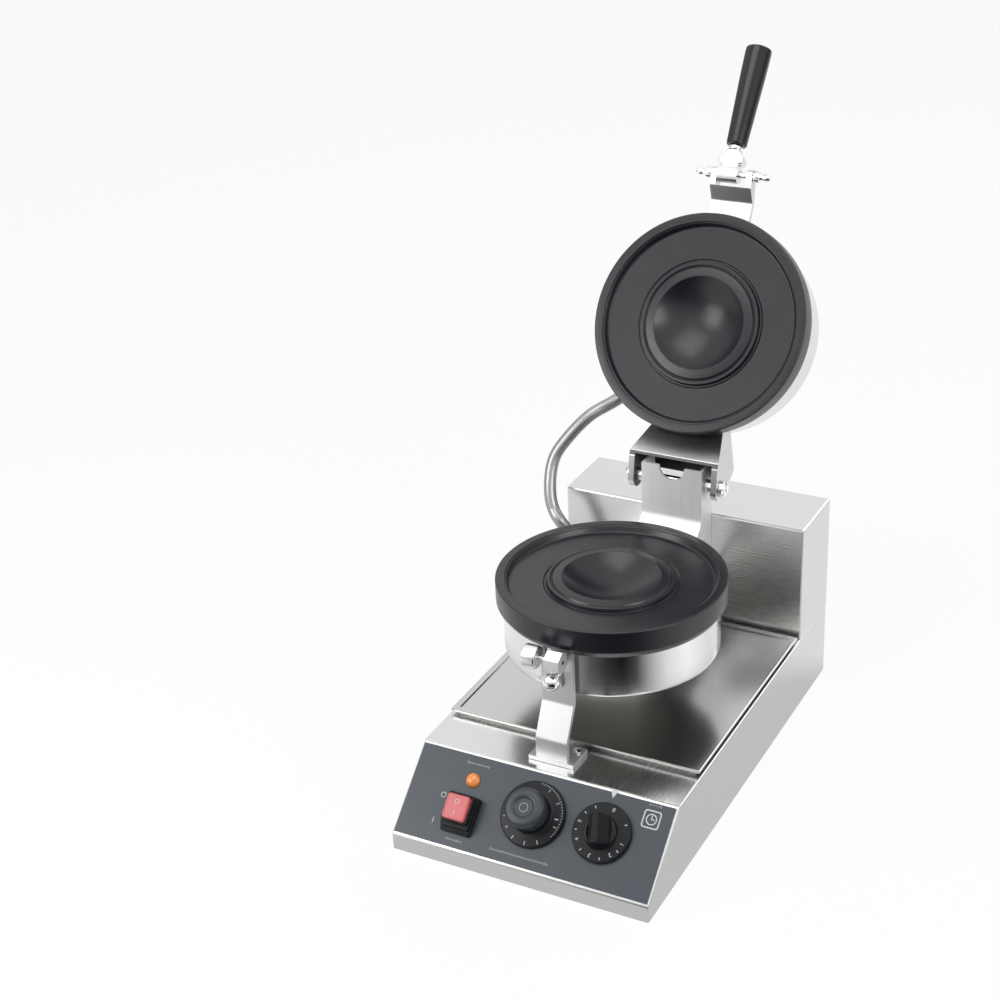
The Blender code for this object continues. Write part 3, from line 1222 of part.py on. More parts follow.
def conduit(axis):
    """The cable conduit from the rear housing round the left of the lid's hinge to its pan."""
    entry = Vector((CONDUIT_ENTRY_X, STEP_Y - GAP - GLAND_L / 2 - GAP, CONDUIT_ENTRY_Z))
    end_frame = axis.matrix_world @ lid_gland_place() @ at(0, 0, GLAND_L / 2 + 3 * GAP)
    far = end_frame.translation
    out = end_frame.to_3x3() @ Vector((0, 0, 1))
    lead = Vector((0, -GLAND_L, 0))
    bends = [Vector((CONDUIT_ENTRY_X + side, HINGE_Y + back, HINGE_Z + up))
             for side, back, up in zip(BEND_SIDE, BEND_BACK, BEND_UP)]
    route = [entry + lead, *bends, far + out * GLAND_L]
    points = [entry, *smooth_route(route, lead.normalized(), -out), far]
    curve = bpy.data.curves.new("conduit", "CURVE")
    curve.dimensions = "3D"
    curve.bevel_depth = CONDUIT_R
    curve.bevel_resolution = 4
    curve.use_fill_caps = True
    spline = curve.splines.new("POLY")
    spline.points.add(len(points) - 1)
    for point, place in zip(spline.points, points):
        point.co = (*place, 1)
    item = bpy.data.objects.new("conduit_line", curve)
    MACHINE.objects.link(item)
    mesh = baked_mesh(item)
    smooth(mesh)
    put("conduit", mesh, steel())


def smooth_route(route, start_way, end_way):
    """Points along a smooth curve through the route, which leaves and ends along two ways."""
    slopes = [start_way * (route[1] - route[0]).length]
    slopes += [(after - before) / 2 for before, after in zip(route, route[2:])]
    slopes.append(end_way * (route[-1] - route[-2]).length)
    points = []
    for i in range(len(route) - 1):
        for step in range(ROUTE_STEPS):
            t = step / ROUTE_STEPS
            points.append(route[i] * (2 * t ** 3 - 3 * t ** 2 + 1)
                          + slopes[i] * (t ** 3 - 2 * t ** 2 + t)
                          + route[i + 1] * (3 * t ** 2 - 2 * t ** 3)
                          + slopes[i + 1] * (t ** 3 - t ** 2))
    points.append(route[-1])
    return points


def wiring_parts():
    """What carries the supply: inlet gland, terminal block, grommet and the lower sleeve."""
    along_y = turn(math.radians(90), "X")
    stem = INLET_BORE_R + SHEET
    outline = [(0, INLET_L - INLET_CAP_T), (INLET_BORE_R, INLET_L - INLET_CAP_T),
               (INLET_BORE_R, INLET_L), (stem, INLET_L), (INLET_R, INLET_L * INLET_TAPER_SHARE),
               (INLET_R, 0), (stem, 0), (stem, -INLET_STEM_L), (0, -INLET_STEM_L)]
    put("inlet_gland", turned_mesh("inlet_gland", outline, 24), black(),
        place=at(INLET_X, REAR_Y + GAP, INLET_Z) @ turn(math.radians(-90), "X"))
    block_z = UNDER_SHEET + GAP + BLOCK_H / 2
    put("terminal_block", block_mesh("terminal_block", (BLOCK_L, BLOCK_W, BLOCK_H),
                                     (0, REAR_Y - BLOCK_FROM_BACK, block_z)), ceramic())
    waist = GROMMET_R - SHEET
    half = GROMMET_T / 2
    flange = SHEET / 2 + GAP
    ring = [(GROMMET_BORE_R, half), (waist, half)]
    ring += [(GROMMET_R + SHEET * 2, flange + GAP), (GROMMET_R + SHEET * 2, flange),
             (GROMMET_R, flange), (GROMMET_R, -half), (GROMMET_BORE_R, -half)]
    put("wire_grommet", turned_mesh("wire_grommet", ring, 24), black(),
        place=at(0, REAR_Y - GROMMET_FROM_BACK, DECK_Z - SHEET / 2))
    start = PLATE_Y + PAN_R - SHEET - GAP
    length = STEP_Y + SHEET + GAP - start
    put("lower_wire_sleeve", rod_mesh("lower_wire_sleeve", SLEEVE_R, length), black(),
        place=at(0, start + length, SLEEVE_Z) @ along_y)


def main():
    clear_scene()
    base_shell()
    bottom_plate()
    rear_housing()
    control_panel()
    pilot_light()
    switch()
    control_knobs()
    drip_tray()
    lower_half()
    front_bracket()
    keeper()
    hinge_bracket()
    hinge_bolt()
    wiring_parts()
    axis = empty("lid_hinge", at(0, HINGE_Y, HINGE_Z) @ turn(-LID_OPEN, "X"))
    bpy.context.view_layer.update()
    lid(axis)
    gland("base_gland", None, at(CONDUIT_ENTRY_X, STEP_Y - GAP, CONDUIT_ENTRY_Z)
          @ turn(math.radians(90), "X"))
    conduit(axis)


main()
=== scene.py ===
"""Looks of a countertop burger press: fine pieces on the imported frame, procedural finishes,
a pale floor, soft studio light and the photograph's camera. Metres, in the frame of the CAD."""
import math

import bmesh
import bpy
from mathutils import Matrix, Vector


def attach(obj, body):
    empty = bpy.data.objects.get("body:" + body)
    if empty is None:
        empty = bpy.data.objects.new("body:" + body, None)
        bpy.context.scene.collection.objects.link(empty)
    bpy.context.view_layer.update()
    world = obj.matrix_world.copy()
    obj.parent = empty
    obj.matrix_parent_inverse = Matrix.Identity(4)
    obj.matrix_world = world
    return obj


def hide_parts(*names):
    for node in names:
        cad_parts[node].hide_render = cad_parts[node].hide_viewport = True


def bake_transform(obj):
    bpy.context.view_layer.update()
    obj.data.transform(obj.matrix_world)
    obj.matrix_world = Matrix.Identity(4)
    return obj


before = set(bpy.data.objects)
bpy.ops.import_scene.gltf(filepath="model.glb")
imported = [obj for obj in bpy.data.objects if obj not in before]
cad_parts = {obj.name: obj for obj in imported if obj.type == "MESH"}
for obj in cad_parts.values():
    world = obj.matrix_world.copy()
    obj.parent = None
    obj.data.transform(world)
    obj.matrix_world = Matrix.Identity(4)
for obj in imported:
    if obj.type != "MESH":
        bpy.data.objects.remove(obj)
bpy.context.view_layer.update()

# Places shared with the CAD
FRONT_Y = -0.2226
PANEL_LOW_Z = 0.0167
PANEL_TILT = math.atan2(0.0586, 0.0662)
PANEL_FACE = 0.0013
PLATE_Y = -0.0180
PARTING_Z = 0.2047
HINGE = Vector((0, 0.13234, 0.2313))
HINGE_BACK = 0.15034
HINGE_UP = 0.0266
LID_OPEN = math.radians(119.45)
LID_RIM = 0.0006 - HINGE_UP
PAN_R = 0.0993
PAN_H = 0.0427
PLATE_T = 0.0272
GAP = 0.0003
EYE = Vector((0, -0.2978, -0.0076))
HANDLE_LEAN = math.radians(6.4)


def at(x, y, z):
    return Matrix.Translation(Vector((x, y, z)))


def turn(degrees, axis):
    return Matrix.Rotation(math.radians(degrees), 4, axis)


ALONG_X = turn(90, "Y")
ALONG_BACK = turn(90, "X")
LID = at(*HINGE) @ turn(-math.degrees(LID_OPEN), "X")
HANDLE = LID @ at(*EYE) @ turn(-math.degrees(HANDLE_LEAN), "X")


def on_panel(x, up, out=0.0):
    """A place on the sloping panel: Z out of its face, Y up its slope."""
    lower = at(0, FRONT_Y, PANEL_LOW_Z) @ turn(math.degrees(PANEL_TILT), "X")
    return lower @ at(x, up, PANEL_FACE + out)


# Camera
def camera():
    data = bpy.data.cameras.new("camera")
    data.lens = 67.70
    data.sensor_width = 36
    item = bpy.data.objects.new("camera", data)
    bpy.context.scene.collection.objects.link(item)
    right = Vector((0.8840, 0.4656, -0.0424))
    down = Vector((0.1743, -0.4124, -0.8942))
    ahead = Vector((-0.4338, 0.7830, -0.4457))
    turned = Matrix((right, -down, -ahead)).transposed().to_4x4()
    item.matrix_world = at(0.6385, -1.3721, 1.0284) @ turned
    bpy.context.scene.camera = item


# Finishes
class Finish:
    """One node material, built a node at a time."""

    def __init__(self, name, color, roughness, metallic):
        self.material = bpy.data.materials.new(name)
        self.material.use_nodes = True
        self.tree = self.material.node_tree
        self.shader = self.tree.nodes["Principled BSDF"]
        self.set("Base Color", (*color, 1))
        self.set("Roughness", roughness)
        self.set("Metallic", metallic)
        self.color = color
        self.roughness = roughness

    def set(self, socket, value):
        self.shader.inputs[socket].default_value = value

    def node(self, kind, **inputs):
        made = self.tree.nodes.new(kind)
        for key, value in inputs.items():
            made.inputs[key.replace("_", " ")].default_value = value
        return made

    def link(self, start, end):
        self.tree.links.new(start, end)

    def grain(self, scale, stretch=(1, 1, 1), detail=4.0, rough=0.6):
        """A noise field over the piece, in metres, drawn out along its own axes."""
        spot = self.tree.nodes.new("ShaderNodeTexCoord").outputs["Object"]
        shape = self.node("ShaderNodeMapping", Scale=stretch)
        noise = self.node("ShaderNodeTexNoise", Scale=scale, Detail=detail, Roughness=rough)
        self.link(spot, shape.inputs["Vector"])
        self.link(shape.outputs["Vector"], noise.inputs["Vector"])
        return noise.outputs["Fac"]

    def remap(self, field, low, high, start=0.3, end=0.7):
        span = self.node("ShaderNodeMapRange", From_Min=start, From_Max=end, To_Min=low,
                         To_Max=high)
        self.link(field, span.inputs["Value"])
        return span.outputs["Result"]

    def mix(self, field, low, high):
        """A colour that runs from low to high with a field."""
        blend = self.tree.nodes.new("ShaderNodeMix")
        blend.data_type = "RGBA"
        blend.inputs["A"].default_value = (*low, 1)
        blend.inputs["B"].default_value = (*high, 1)
        self.link(field, blend.inputs["Factor"])
        return blend.outputs["Result"]

    def paint(self, field, spread, start=0.3, end=0.7):
        low = [c * (1 - spread) for c in self.color]
        high = [min(1, c * (1 + spread)) for c in self.color]
        ramp = self.remap(field, 0, 1, start, end)
        self.link(self.mix(ramp, low, high), self.shader.inputs["Base Color"])

    def rough(self, field, low, high, start=0.3, end=0.7):
        self.link(self.remap(field, low, high, start, end), self.shader.inputs["Roughness"])

    def bump(self, *layers):
        """Layers of (field, height in metres, strength) over one another."""
        normal = None
        for field, height, strength in layers:
            step = self.node("ShaderNodeBump", Strength=strength, Distance=height)
            self.link(field, step.inputs["Height"])
            if normal:
                self.link(normal, step.inputs["Normal"])
            normal = step.outputs["Normal"]
        self.link(normal, self.shader.inputs["Normal"])


def brushed(name, stretch, color=(0.72, 0.72, 0.715), roughness=0.25, spread=0.018, height=1e-6):
    """Steel with fine parallel brushing: stretch is small along the grain."""
    made = Finish(name, color, roughness, 1.0)
    lines = made.grain(1.0, stretch, 3.0, 0.6)
    cloud = made.grain(9.0, (1, 1, 1), 2.0)
    made.paint(lines, spread)
    both = made.node("ShaderNodeMath")
    both.operation = "MULTIPLY_ADD"
    made.link(lines, both.inputs[0])
    both.inputs[1].default_value = 0.75
    made.link(made.remap(cloud, 0, 0.25), both.inputs[2])
    made.rough(both.outputs["Value"], roughness * 0.85, roughness * 1.2, 0.2, 0.8)
    made.bump((lines, height, 0.15))
    return made.material


def cast_metal(name, color=(0.84, 0.84, 0.85), roughness=0.30):
    made = Finish(name, color, roughness, 1.0)
    skin = made.grain(900.0, detail=3.0)
    cloud = made.grain(60.0, detail=3.0)
    made.paint(cloud, 0.05)
    made.rough(cloud, roughness * 0.75, roughness * 1.3)
    made.bump((skin, 1.6e-5, 0.35), (cloud, 8e-5, 0.25))
    return made.material


def chrome():
    made = Finish("polished_chrome", (0.90, 0.90, 0.92), 0.06, 1.0)
    wear = made.grain(300.0, detail=4.0)
    made.paint(wear, 0.03)
    made.rough(wear, 0.04, 0.11)
    made.bump((wear, 3e-6, 0.3))
    return made.material


def coating():
    """The non-stick coat of the plates: dark, satin and finely speckled."""
    made = Finish("non_stick_coat", (0.0060, 0.0072, 0.0105), 0.28, 0.0)
    speck = made.grain(1500.0, detail=2.0)
    cloud = made.grain(35.0, detail=3.0)
    made.paint(speck, 0.22)
    made.rough(cloud, 0.26, 0.34)
    made.bump((speck, 1.6e-5, 0.35), (made.grain(420.0, detail=3.0), 2.0e-5, 0.25))
    made.set("Specular IOR Level", 0.55)
    return made.material


def plastic(name, color, roughness, bump=6e-6, spread=0.08, gloss=0.5):
    made = Finish(name, color, roughness, 0.0)
    made.set("Specular IOR Level", gloss)
    skin = made.grain(1100.0, detail=2.0)
    cloud = made.grain(45.0, detail=3.0)
    made.paint(cloud, spread)
    made.rough(cloud, roughness * 0.82, roughness * 1.2)
    made.bump((skin, bump, 0.4))
    return made.material


def slate():
    made = Finish("panel_slate", (0.040, 0.050, 0.063), 0.36, 0.0)
    skin = made.grain(2200.0, detail=2.0)
    cloud = made.grain(18.0, detail=3.0)
    made.paint(cloud, 0.05)
    made.rough(cloud, 0.31, 0.42)
    made.bump((skin, 6e-6, 0.35))
    return made.material


def lens():
    made = Finish("amber_lens", (0.92, 0.27, 0.055), 0.24, 0.0)
    facet = made.grain(420.0, detail=1.0)
    made.paint(facet, 0.10)
    made.rough(facet, 0.16, 0.30)
    made.bump((facet, 5e-5, 0.35))
    made.set("Subsurface Weight", 0.15)
    made.set("Coat Weight", 0.4)
    return made.material


def wool():
    made = Finish("mineral_wool", (0.55, 0.50, 0.38), 0.95, 0.0)
    fibre = made.grain(260.0, (1, 1, 4), 5.0)
    made.paint(fibre, 0.25)
    made.rough(fibre, 0.88, 1.0)
    made.bump((fibre, 6e-4, 0.8))
    return made.material


GRAIN_X = (9.0, 3200.0, 3200.0)
GRAIN_Y = (3200.0, 9.0, 3200.0)
GRAIN_ROUND = (14.0, 14.0, 3200.0)
GRAIN_UP = (900.0, 900.0, 20.0)
GRAIN_FINE = (500.0, 500.0, 500.0)
GRAIN_NONE = (400.0, 400.0, 400.0)
GRAIN_BLOTCH = (300.0, 300.0, 300.0)

MATERIALS = {
    "steel_x": brushed("brushed_steel_across", GRAIN_X),
    "steel_y": brushed("brushed_steel_along", GRAIN_Y),
    "steel_round": brushed("brushed_steel_turned", GRAIN_ROUND, (0.76, 0.76, 0.755), 0.17),
    # The pan's underside: a dark steel as painted shade, so the bottom of the lower pan and its
    # reflections read dark.
    "pan_shade": brushed("pan_underside_painted_shade", GRAIN_BLOTCH, (0.13, 0.12, 0.11), 0.32, 0.15),
    # The tray's steel is darker than the deck's: partly a lower reflectance, partly painted shade
    # from the pan above it.
    "tray": brushed("brushed_steel_tray", GRAIN_X, (0.58, 0.58, 0.57), 0.21),
    "bracket": brushed("satin_steel", GRAIN_UP, (0.75, 0.75, 0.76), 0.42, 0.03),
    "hinge": brushed("satin_casting", GRAIN_UP, (0.88, 0.88, 0.89), 0.60, 0.03),
    "web": brushed("brushed_casting", (900.0, 14.0, 900.0), (0.68, 0.68, 0.69), 0.30, 0.05),
    # The arm's pocket faces: a dark grey casting as painted shade inside the arm.
    "web_painted_shade": brushed("casting_painted_shade", GRAIN_NONE, (0.16, 0.16, 0.16), 0.60, 0.12),
    "conduit": brushed("conduit_steel", GRAIN_FINE, (0.37, 0.37, 0.365), 0.36, 0.04),
    "cast": cast_metal("cast_aluminium"),
    "chrome": chrome(),
    "coat": coating(),
    "black": plastic("black_plastic", (0.011, 0.012, 0.014), 0.34),
    "grip": plastic("black_gloss_grip", (0.006, 0.0065, 0.0075), 0.20, 2.5e-6),
    "cap": plastic("charcoal_cap", (0.032, 0.037, 0.044), 0.36, 1e-5, 0.08, 0.45),
    "knob": plastic("knob_black", (0.008, 0.009, 0.011), 0.30, 6e-6, 0.08, 0.20),
    "rubber": plastic("black_rubber", (0.008, 0.0085, 0.0095), 0.45, 1e-5, 0.08, 0.25),
    "slate": slate(),
    "amber": lens(),
    "red": plastic("rocker_red", (0.60, 0.125, 0.130), 0.30, 4e-6, 0.05),
    "print": plastic("white_print", (0.60, 0.61, 0.62), 0.50, 2e-6, 0.03),
    "ceramic": plastic("ceramic", (0.75, 0.72, 0.65), 0.60, 2e-5),
    "wool": wool(),
}


# Mesh helpers
def arc(center_u, center_v, radius, start, end, count):
    angles = [math.radians(start + (end - start) * i / (count - 1)) for i in range(count)]
    return [(center_u + radius * math.cos(a), center_v + radius * math.sin(a)) for a in angles]


def filleted(points, closed=False, steps=5):
    """The outline with each corner (u, v, radius) rounded; a corner of two numbers stays sharp."""
    made = []
    count = len(points)
    for i, point in enumerate(points):
        end = not closed and i in (0, count - 1)
        if len(point) < 3 or end:
            made.append((point[0], point[1]))
            continue
        here = Vector(point[:2])
        before = Vector(points[i - 1][:2]) - here
        after = Vector(points[(i + 1) % count][:2]) - here
        half = before.angle(after) / 2
        back = min(point[2] / math.tan(half), before.length * 0.49, after.length * 0.49)
        start = here + before.normalized() * back
        stop = here + after.normalized() * back
        for step in range(steps + 1):
            t = step / steps
            made.append(tuple(start * (1 - t) ** 2 + here * 2 * t * (1 - t) + stop * t * t))
    return made


def finish_mesh(form, name, angle=38):
    bmesh.ops.remove_doubles(form, verts=form.verts, dist=1e-6)
    bmesh.ops.recalc_face_normals(form, faces=form.faces)
    mesh = bpy.data.meshes.new(name)
    form.to_mesh(mesh)
    form.free()
    mesh.shade_smooth()
    mesh.set_sharp_from_angle(angle=math.radians(angle))
    return mesh


def lathe(name, profile, steps=144, angle=38):
    """Turns (radius, height) points about Z; a profile off the axis is closed on itself."""
    form = bmesh.new()
    rings = []
    for radius, height in profile:
        if radius < 1e-7:
            rings.append([form.verts.new((0, 0, height))])
        else:
            rings.append([form.verts.new((radius * math.cos(math.tau * i / steps),
                                          radius * math.sin(math.tau * i / steps), height))
                          for i in range(steps)])
    pairs = list(zip(rings, rings[1:]))
    if min(radius for radius, height in profile) > 1e-7:
        pairs.append((rings[-1], rings[0]))
    for low, high in pairs:
        for i in range(steps):
            k = (i + 1) % steps
            if len(low) == 1 and len(high) > 1:
                form.faces.new((low[0], high[i], high[k]))
            elif len(high) == 1 and len(low) > 1:
                form.faces.new((low[i], low[k], high[0]))
            elif len(low) > 1:
                form.faces.new((low[i], low[k], high[k], high[i]))
    return finish_mesh(form, name, angle)


def slab(name, outline, depth, edge=0.0, holes=(), steps=3):
    """A plate cut to an outline in XY, its rims rounded, its thickness about its middle."""
    curve = bpy.data.curves.new(name, "CURVE")
    curve.dimensions = "2D"
    curve.fill_mode = "BOTH"
    curve.extrude = depth / 2 - edge
    curve.bevel_depth = edge
    curve.bevel_resolution = steps
    curve.offset = -edge
    for loop in (outline, *holes):
        spline = curve.splines.new("POLY")
        spline.points.add(len(loop) - 1)
        for point, (u, v) in zip(spline.points, loop):
            point.co = (u, v, 0, 1)
        spline.use_cyclic_u = True
    item = bpy.data.objects.new(name, curve)
    bpy.context.scene.collection.objects.link(item)
    bpy.context.view_layer.update()
    graph = bpy.context.evaluated_depsgraph_get()
    mesh = bpy.data.meshes.new_from_object(item.evaluated_get(graph))
    bpy.data.objects.remove(item, do_unlink=True)
    form = bmesh.new()
    form.from_mesh(mesh)
    return finish_mesh(form, name)


def even(mesh):
    """The mesh with normals weighted by face area, so flat faces stay flat beside rounds."""
    item = bpy.data.objects.new("even", mesh)
    bpy.context.scene.collection.objects.link(item)
    step = item.modifiers.new("even", "WEIGHTED_NORMAL")
    step.keep_sharp = True
    bpy.context.view_layer.update()
    graph = bpy.context.evaluated_depsgraph_get()
    made = bpy.data.meshes.new_from_object(item.evaluated_get(graph))
    bpy.data.objects.remove(item, do_unlink=True)
    return made


def block(name, size, center=(0, 0, 0), edge=0.0, steps=3):
    form = bmesh.new()
    bmesh.ops.create_cube(form, size=1, matrix=at(*center) @ Matrix.Diagonal((*size, 1)))
    if edge:
        bmesh.ops.bevel(form, geom=form.edges[:], offset=edge, segments=steps, profile=0.5,
                        affect="EDGES")
    return finish_mesh(form, name)


def rod(name, radius, length, start=0.0, steps=40):
    return lathe(name, [(0, start), (radius, start), (radius, start + length),
                        (0, start + length)], steps)


def sweep(name, points, radius, sides=24):
    """A round tube along points, closed at both ends."""
    form = bmesh.new()
    ways = [(b - a).normalized() for a, b in zip(points, points[1:])]
    ways = [ways[0]] + [(a + b).normalized() for a, b in zip(ways, ways[1:])] + [ways[-1]]
    side = ways[0].orthogonal().normalized()
    rings = []
    for spot, way in zip(points, ways):
        side = (side - way * side.dot(way)).normalized()
        over = way.cross(side)
        rings.append([form.verts.new(spot + radius * (side * math.cos(math.tau * i / sides)
                                                      + over * math.sin(math.tau * i / sides)))
                      for i in range(sides)])
    for low, high in zip(rings, rings[1:]):
        for i in range(sides):
            k = (i + 1) % sides
            form.faces.new((low[i], low[k], high[k], high[i]))
    form.faces.new(rings[0])
    form.faces.new(rings[-1])
    return finish_mesh(form, name)


def placed(mesh, place):
    """The mesh itself moved to a place."""
    mesh.transform(place)
    return mesh


def side_slab(name, outline, width, center_x=0.0, edge=0.0):
    """A plate whose outline is (y, z)."""
    place = at(center_x, 0, 0) @ Matrix(((0, 0, 1, 0), (1, 0, 0, 0), (0, 1, 0, 0), (0, 0, 0, 1)))
    return placed(slab(name, outline, width, edge), place)


def front_slab(name, outline, depth, center_y=0.0, edge=0.0):
    """A plate whose outline is (x, z)."""
    place = at(0, center_y, 0) @ Matrix(((1, 0, 0, 0), (0, 0, -1, 0), (0, 1, 0, 0), (0, 0, 0, 1)))
    return placed(slab(name, outline, depth, edge), place)


def merged(name, meshes, angle=38):
    """One mesh of several, each left as its own shell."""
    form = bmesh.new()
    for mesh in meshes:
        form.from_mesh(mesh)
    mesh = bpy.data.meshes.new(name)
    form.to_mesh(mesh)
    form.free()
    mesh.shade_smooth()
    mesh.set_sharp_from_angle(angle=math.radians(angle))
    return mesh


def shaped(name, mesh, steps, edge=0.0, segments=3, angle=32):
    """The mesh after Booleans of (operation, tool mesh), its edges then rounded."""
    item = bpy.data.objects.new(name, mesh)
    bpy.context.scene.collection.objects.link(item)
    tools = []
    for operation, tool_mesh in steps:
        tool = bpy.data.objects.new(name + "_tool", tool_mesh)
        bpy.context.scene.collection.objects.link(tool)
        tools.append(tool)
        step = item.modifiers.new("shape", "BOOLEAN")
        step.operation = operation
        step.solver = "EXACT"
        step.object = tool
    if edge:
        step = item.modifiers.new("edge", "BEVEL")
        step.width = edge
        step.segments = segments
        step.limit_method = "ANGLE"
        step.angle_limit = math.radians(angle)
    bpy.context.view_layer.update()
    graph = bpy.context.evaluated_depsgraph_get()
    made = bpy.data.meshes.new_from_object(item.evaluated_get(graph))
    for gone in (item, *tools):
        bpy.data.objects.remove(gone, do_unlink=True)
    made.shade_smooth()
    made.set_sharp_from_angle(angle=math.radians(38))
    return even(made)


def piece(name, mesh, finish, body, place=Matrix(), replaces=()):
    """Adds a piece with its finish, seats it on a body and lets it stand for CAD nodes."""
    item = bpy.data.objects.new(name, mesh)
    bpy.context.scene.collection.objects.link(item)
    item.matrix_world = place
    mesh.materials.clear()
    for key in (finish if isinstance(finish, tuple) else (finish,)):
        mesh.materials.append(MATERIALS[key])
    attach(item, body)
    if replaces:
        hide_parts(*replaces)
    return item


# Conduit
CONDUIT_R = 0.0062
CONDUIT_ENTRY = Vector((-0.0950, 0.1404, 0.1350))
BENDS = ((-0.1136, 0.11344, 0.1687), (-0.1267, 0.11744, 0.1838), (-0.1329, 0.12444, 0.2022),
         (-0.1343, 0.13544, 0.2247), (-0.1270, 0.14544, 0.2426), (-0.1064, 0.16244, 0.2684))
GLAND_L = 0.0100
LID_GLAND = (LID @ at(0, -HINGE_BACK, 0.0450 - HINGE_UP) @ turn(136, "Z") @ at(PAN_R, 0, 0)
             @ turn(90, "Y"))


def conduit_points(steps):
    """The conduit's own line: straight leads at both ends and a smooth run through its bends."""
    end = LID_GLAND @ at(0, 0, GLAND_L / 2 + 3 * GAP)
    far = end.translation
    out = (end.to_3x3() @ Vector((0, 0, 1))).normalized()
    lead = Vector((0, -GLAND_L, 0))
    route = [CONDUIT_ENTRY + lead, *(Vector(b) for b in BENDS), far + out * GLAND_L]
    slopes = [lead.normalized() * (route[1] - route[0]).length]
    slopes += [(after - before) / 2 for before, after in zip(route, route[2:])]
    slopes.append(-out * (route[-1] - route[-2]).length)
    points = [CONDUIT_ENTRY]
    for i in range(len(route) - 1):
        for step in range(steps):
            t = step / steps
            points.append(route[i] * (2 * t ** 3 - 3 * t ** 2 + 1)
                          + slopes[i] * (t ** 3 - 2 * t ** 2 + t)
                          + route[i + 1] * (3 * t ** 2 - 2 * t ** 3)
                          + slopes[i + 1] * (t ** 3 - t ** 2))
    return points + [route[-1], far]


def conduit():
    points = conduit_points(12)
    item = bpy.data.objects.new("conduit_tube", sweep("conduit_tube", points, CONDUIT_R, 28))
    bpy.context.scene.collection.objects.link(item)
    item.data.materials.append(MATERIALS["conduit"])
    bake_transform(item)
    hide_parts("conduit")


# Hot plates and pans
def plate_profile():
    """Half the section of a plate: dish, moulded ring, trough and rim, its corners rounded."""
    sag = 0.0190 - 0.0016
    bowl_r = 0.0452
    sphere = (bowl_r ** 2 + sag ** 2) / (2 * sag)
    reach = math.degrees(math.asin(bowl_r / sphere))
    bowl = arc(0, sphere - 0.0190, sphere, -90, -90 + reach, 30)
    bowl[0] = (0, -0.0190)
    ring = [(bowl_r + 0.0002, -0.0015, 0.0010), (0.0535, -0.0024, 0.0008),
            (0.0548, -0.0046, 0.0008), (0.0562, -0.0030, 0.0007), (0.0588, -0.0030, 0.0006),
            (0.0598, -0.0073, 0.0006), (0.0612, -0.0073, 0.0008), (0.0626, -0.0065, 0.0010)]
    wall = [(0.0932, -0.0065, 0.0016), (0.0943, -0.0048, 0.0006), (0.0958, -0.0015, 0.0006),
            (0.0970, -0.0011, 0.0005), (0.0975, 0, 0.0006)]
    side = [(0.1058, 0, 0.0012), (0.1058, -0.0205, 0.0030), (0.1010, -PLATE_T, 0.0010),
            (0, -PLATE_T)]
    return bowl[:-1] + filleted([bowl[-1]] + ring + wall + side, steps=5)


def pan_profile():
    inner = PAN_R - 0.0012
    return [(0, 0.0012 - PAN_H)] + filleted(
        [(0, 0.0012 - PAN_H), (inner, 0.0012 - PAN_H, 0.0030), (inner, 0), (PAN_R, 0),
         (PAN_R, -PAN_H, 0.0040), (0, -PAN_H)], steps=8)[1:]


def hot_halves():
    for prefix, body, place, finish in (
            ("lower", "base", at(0, PLATE_Y, PARTING_Z), ("steel_round", "pan_shade")),
            ("lid", "lid", LID @ at(0, -HINGE_BACK, LID_RIM) @ turn(180, "X"), ("steel_round",))):
        piece(prefix + "_plate_fine", lathe(prefix + "_plate_fine", plate_profile(), 200, 50),
              "coat", body, place, (prefix + "_plate",))
        pan = piece(prefix + "_pan_fine", lathe(prefix + "_pan_fine", pan_profile(), 200),
                    finish, body, place @ at(0, 0, -PLATE_T - GAP),
                    (prefix + "_housing",))
        # The lower pan's downward faces take the dark second steel: painted shade under the pan.
        if len(finish) > 1:
            for face in pan.data.polygons:
                face.material_index = int(face.normal.z < -0.9)


# Front bracket, keeper and ball nut
BRACKET_X = -0.0030
BRACKET_HIGH = -0.1266
DECK = 0.0753 + GAP


def front_bracket():
    foot_y = -0.1441
    low, high, thick = -0.1426, BRACKET_HIGH, 0.0045
    foot = block("foot", (0.0440, 0.0285, 0.0042), (BRACKET_X, foot_y + 0.01425, DECK + 0.0021))
    slope = math.atan2(0.0310, high - low)
    shift = thick * math.tan((math.pi / 2 - slope) / 2)
    side = [(low, DECK), (low, 0.0990, 0.0060), (high, 0.1300, 0.0060), (high, 0.1815),
            (high + thick, 0.1815), (high + thick, 0.1300 - shift, 0.0060),
            (low + thick, 0.0990 - shift, 0.0060), (low + thick, DECK)]
    strip = side_slab("strip", filleted(side, True), 0.0305, BRACKET_X)
    notch = filleted([(BRACKET_X - 0.0045, 0.1640, 0.0020), (BRACKET_X + 0.0045, 0.1640, 0.0020),
                      (BRACKET_X + 0.0125, 0.1835), (BRACKET_X - 0.0125, 0.1835)], True)
    steps = [("UNION", strip), ("DIFFERENCE", front_slab("notch", notch, 0.02, high + 0.002))]
    for x in (-0.0158, 0.0158):
        hole = placed(rod("hole", 0.0023, 0.02, -0.01), at(BRACKET_X + x, -0.1226, DECK))
        sink = placed(rod("sink", 0.0046, 0.006, 0), at(BRACKET_X + x, -0.1226, DECK + 0.0030))
        steps += [("DIFFERENCE", hole), ("DIFFERENCE", sink)]
    mesh = shaped("front_bracket_fine", foot, steps, 0.0009, 3)
    piece("front_bracket_fine", mesh, "bracket", "base",
          replaces=("front_bracket",))


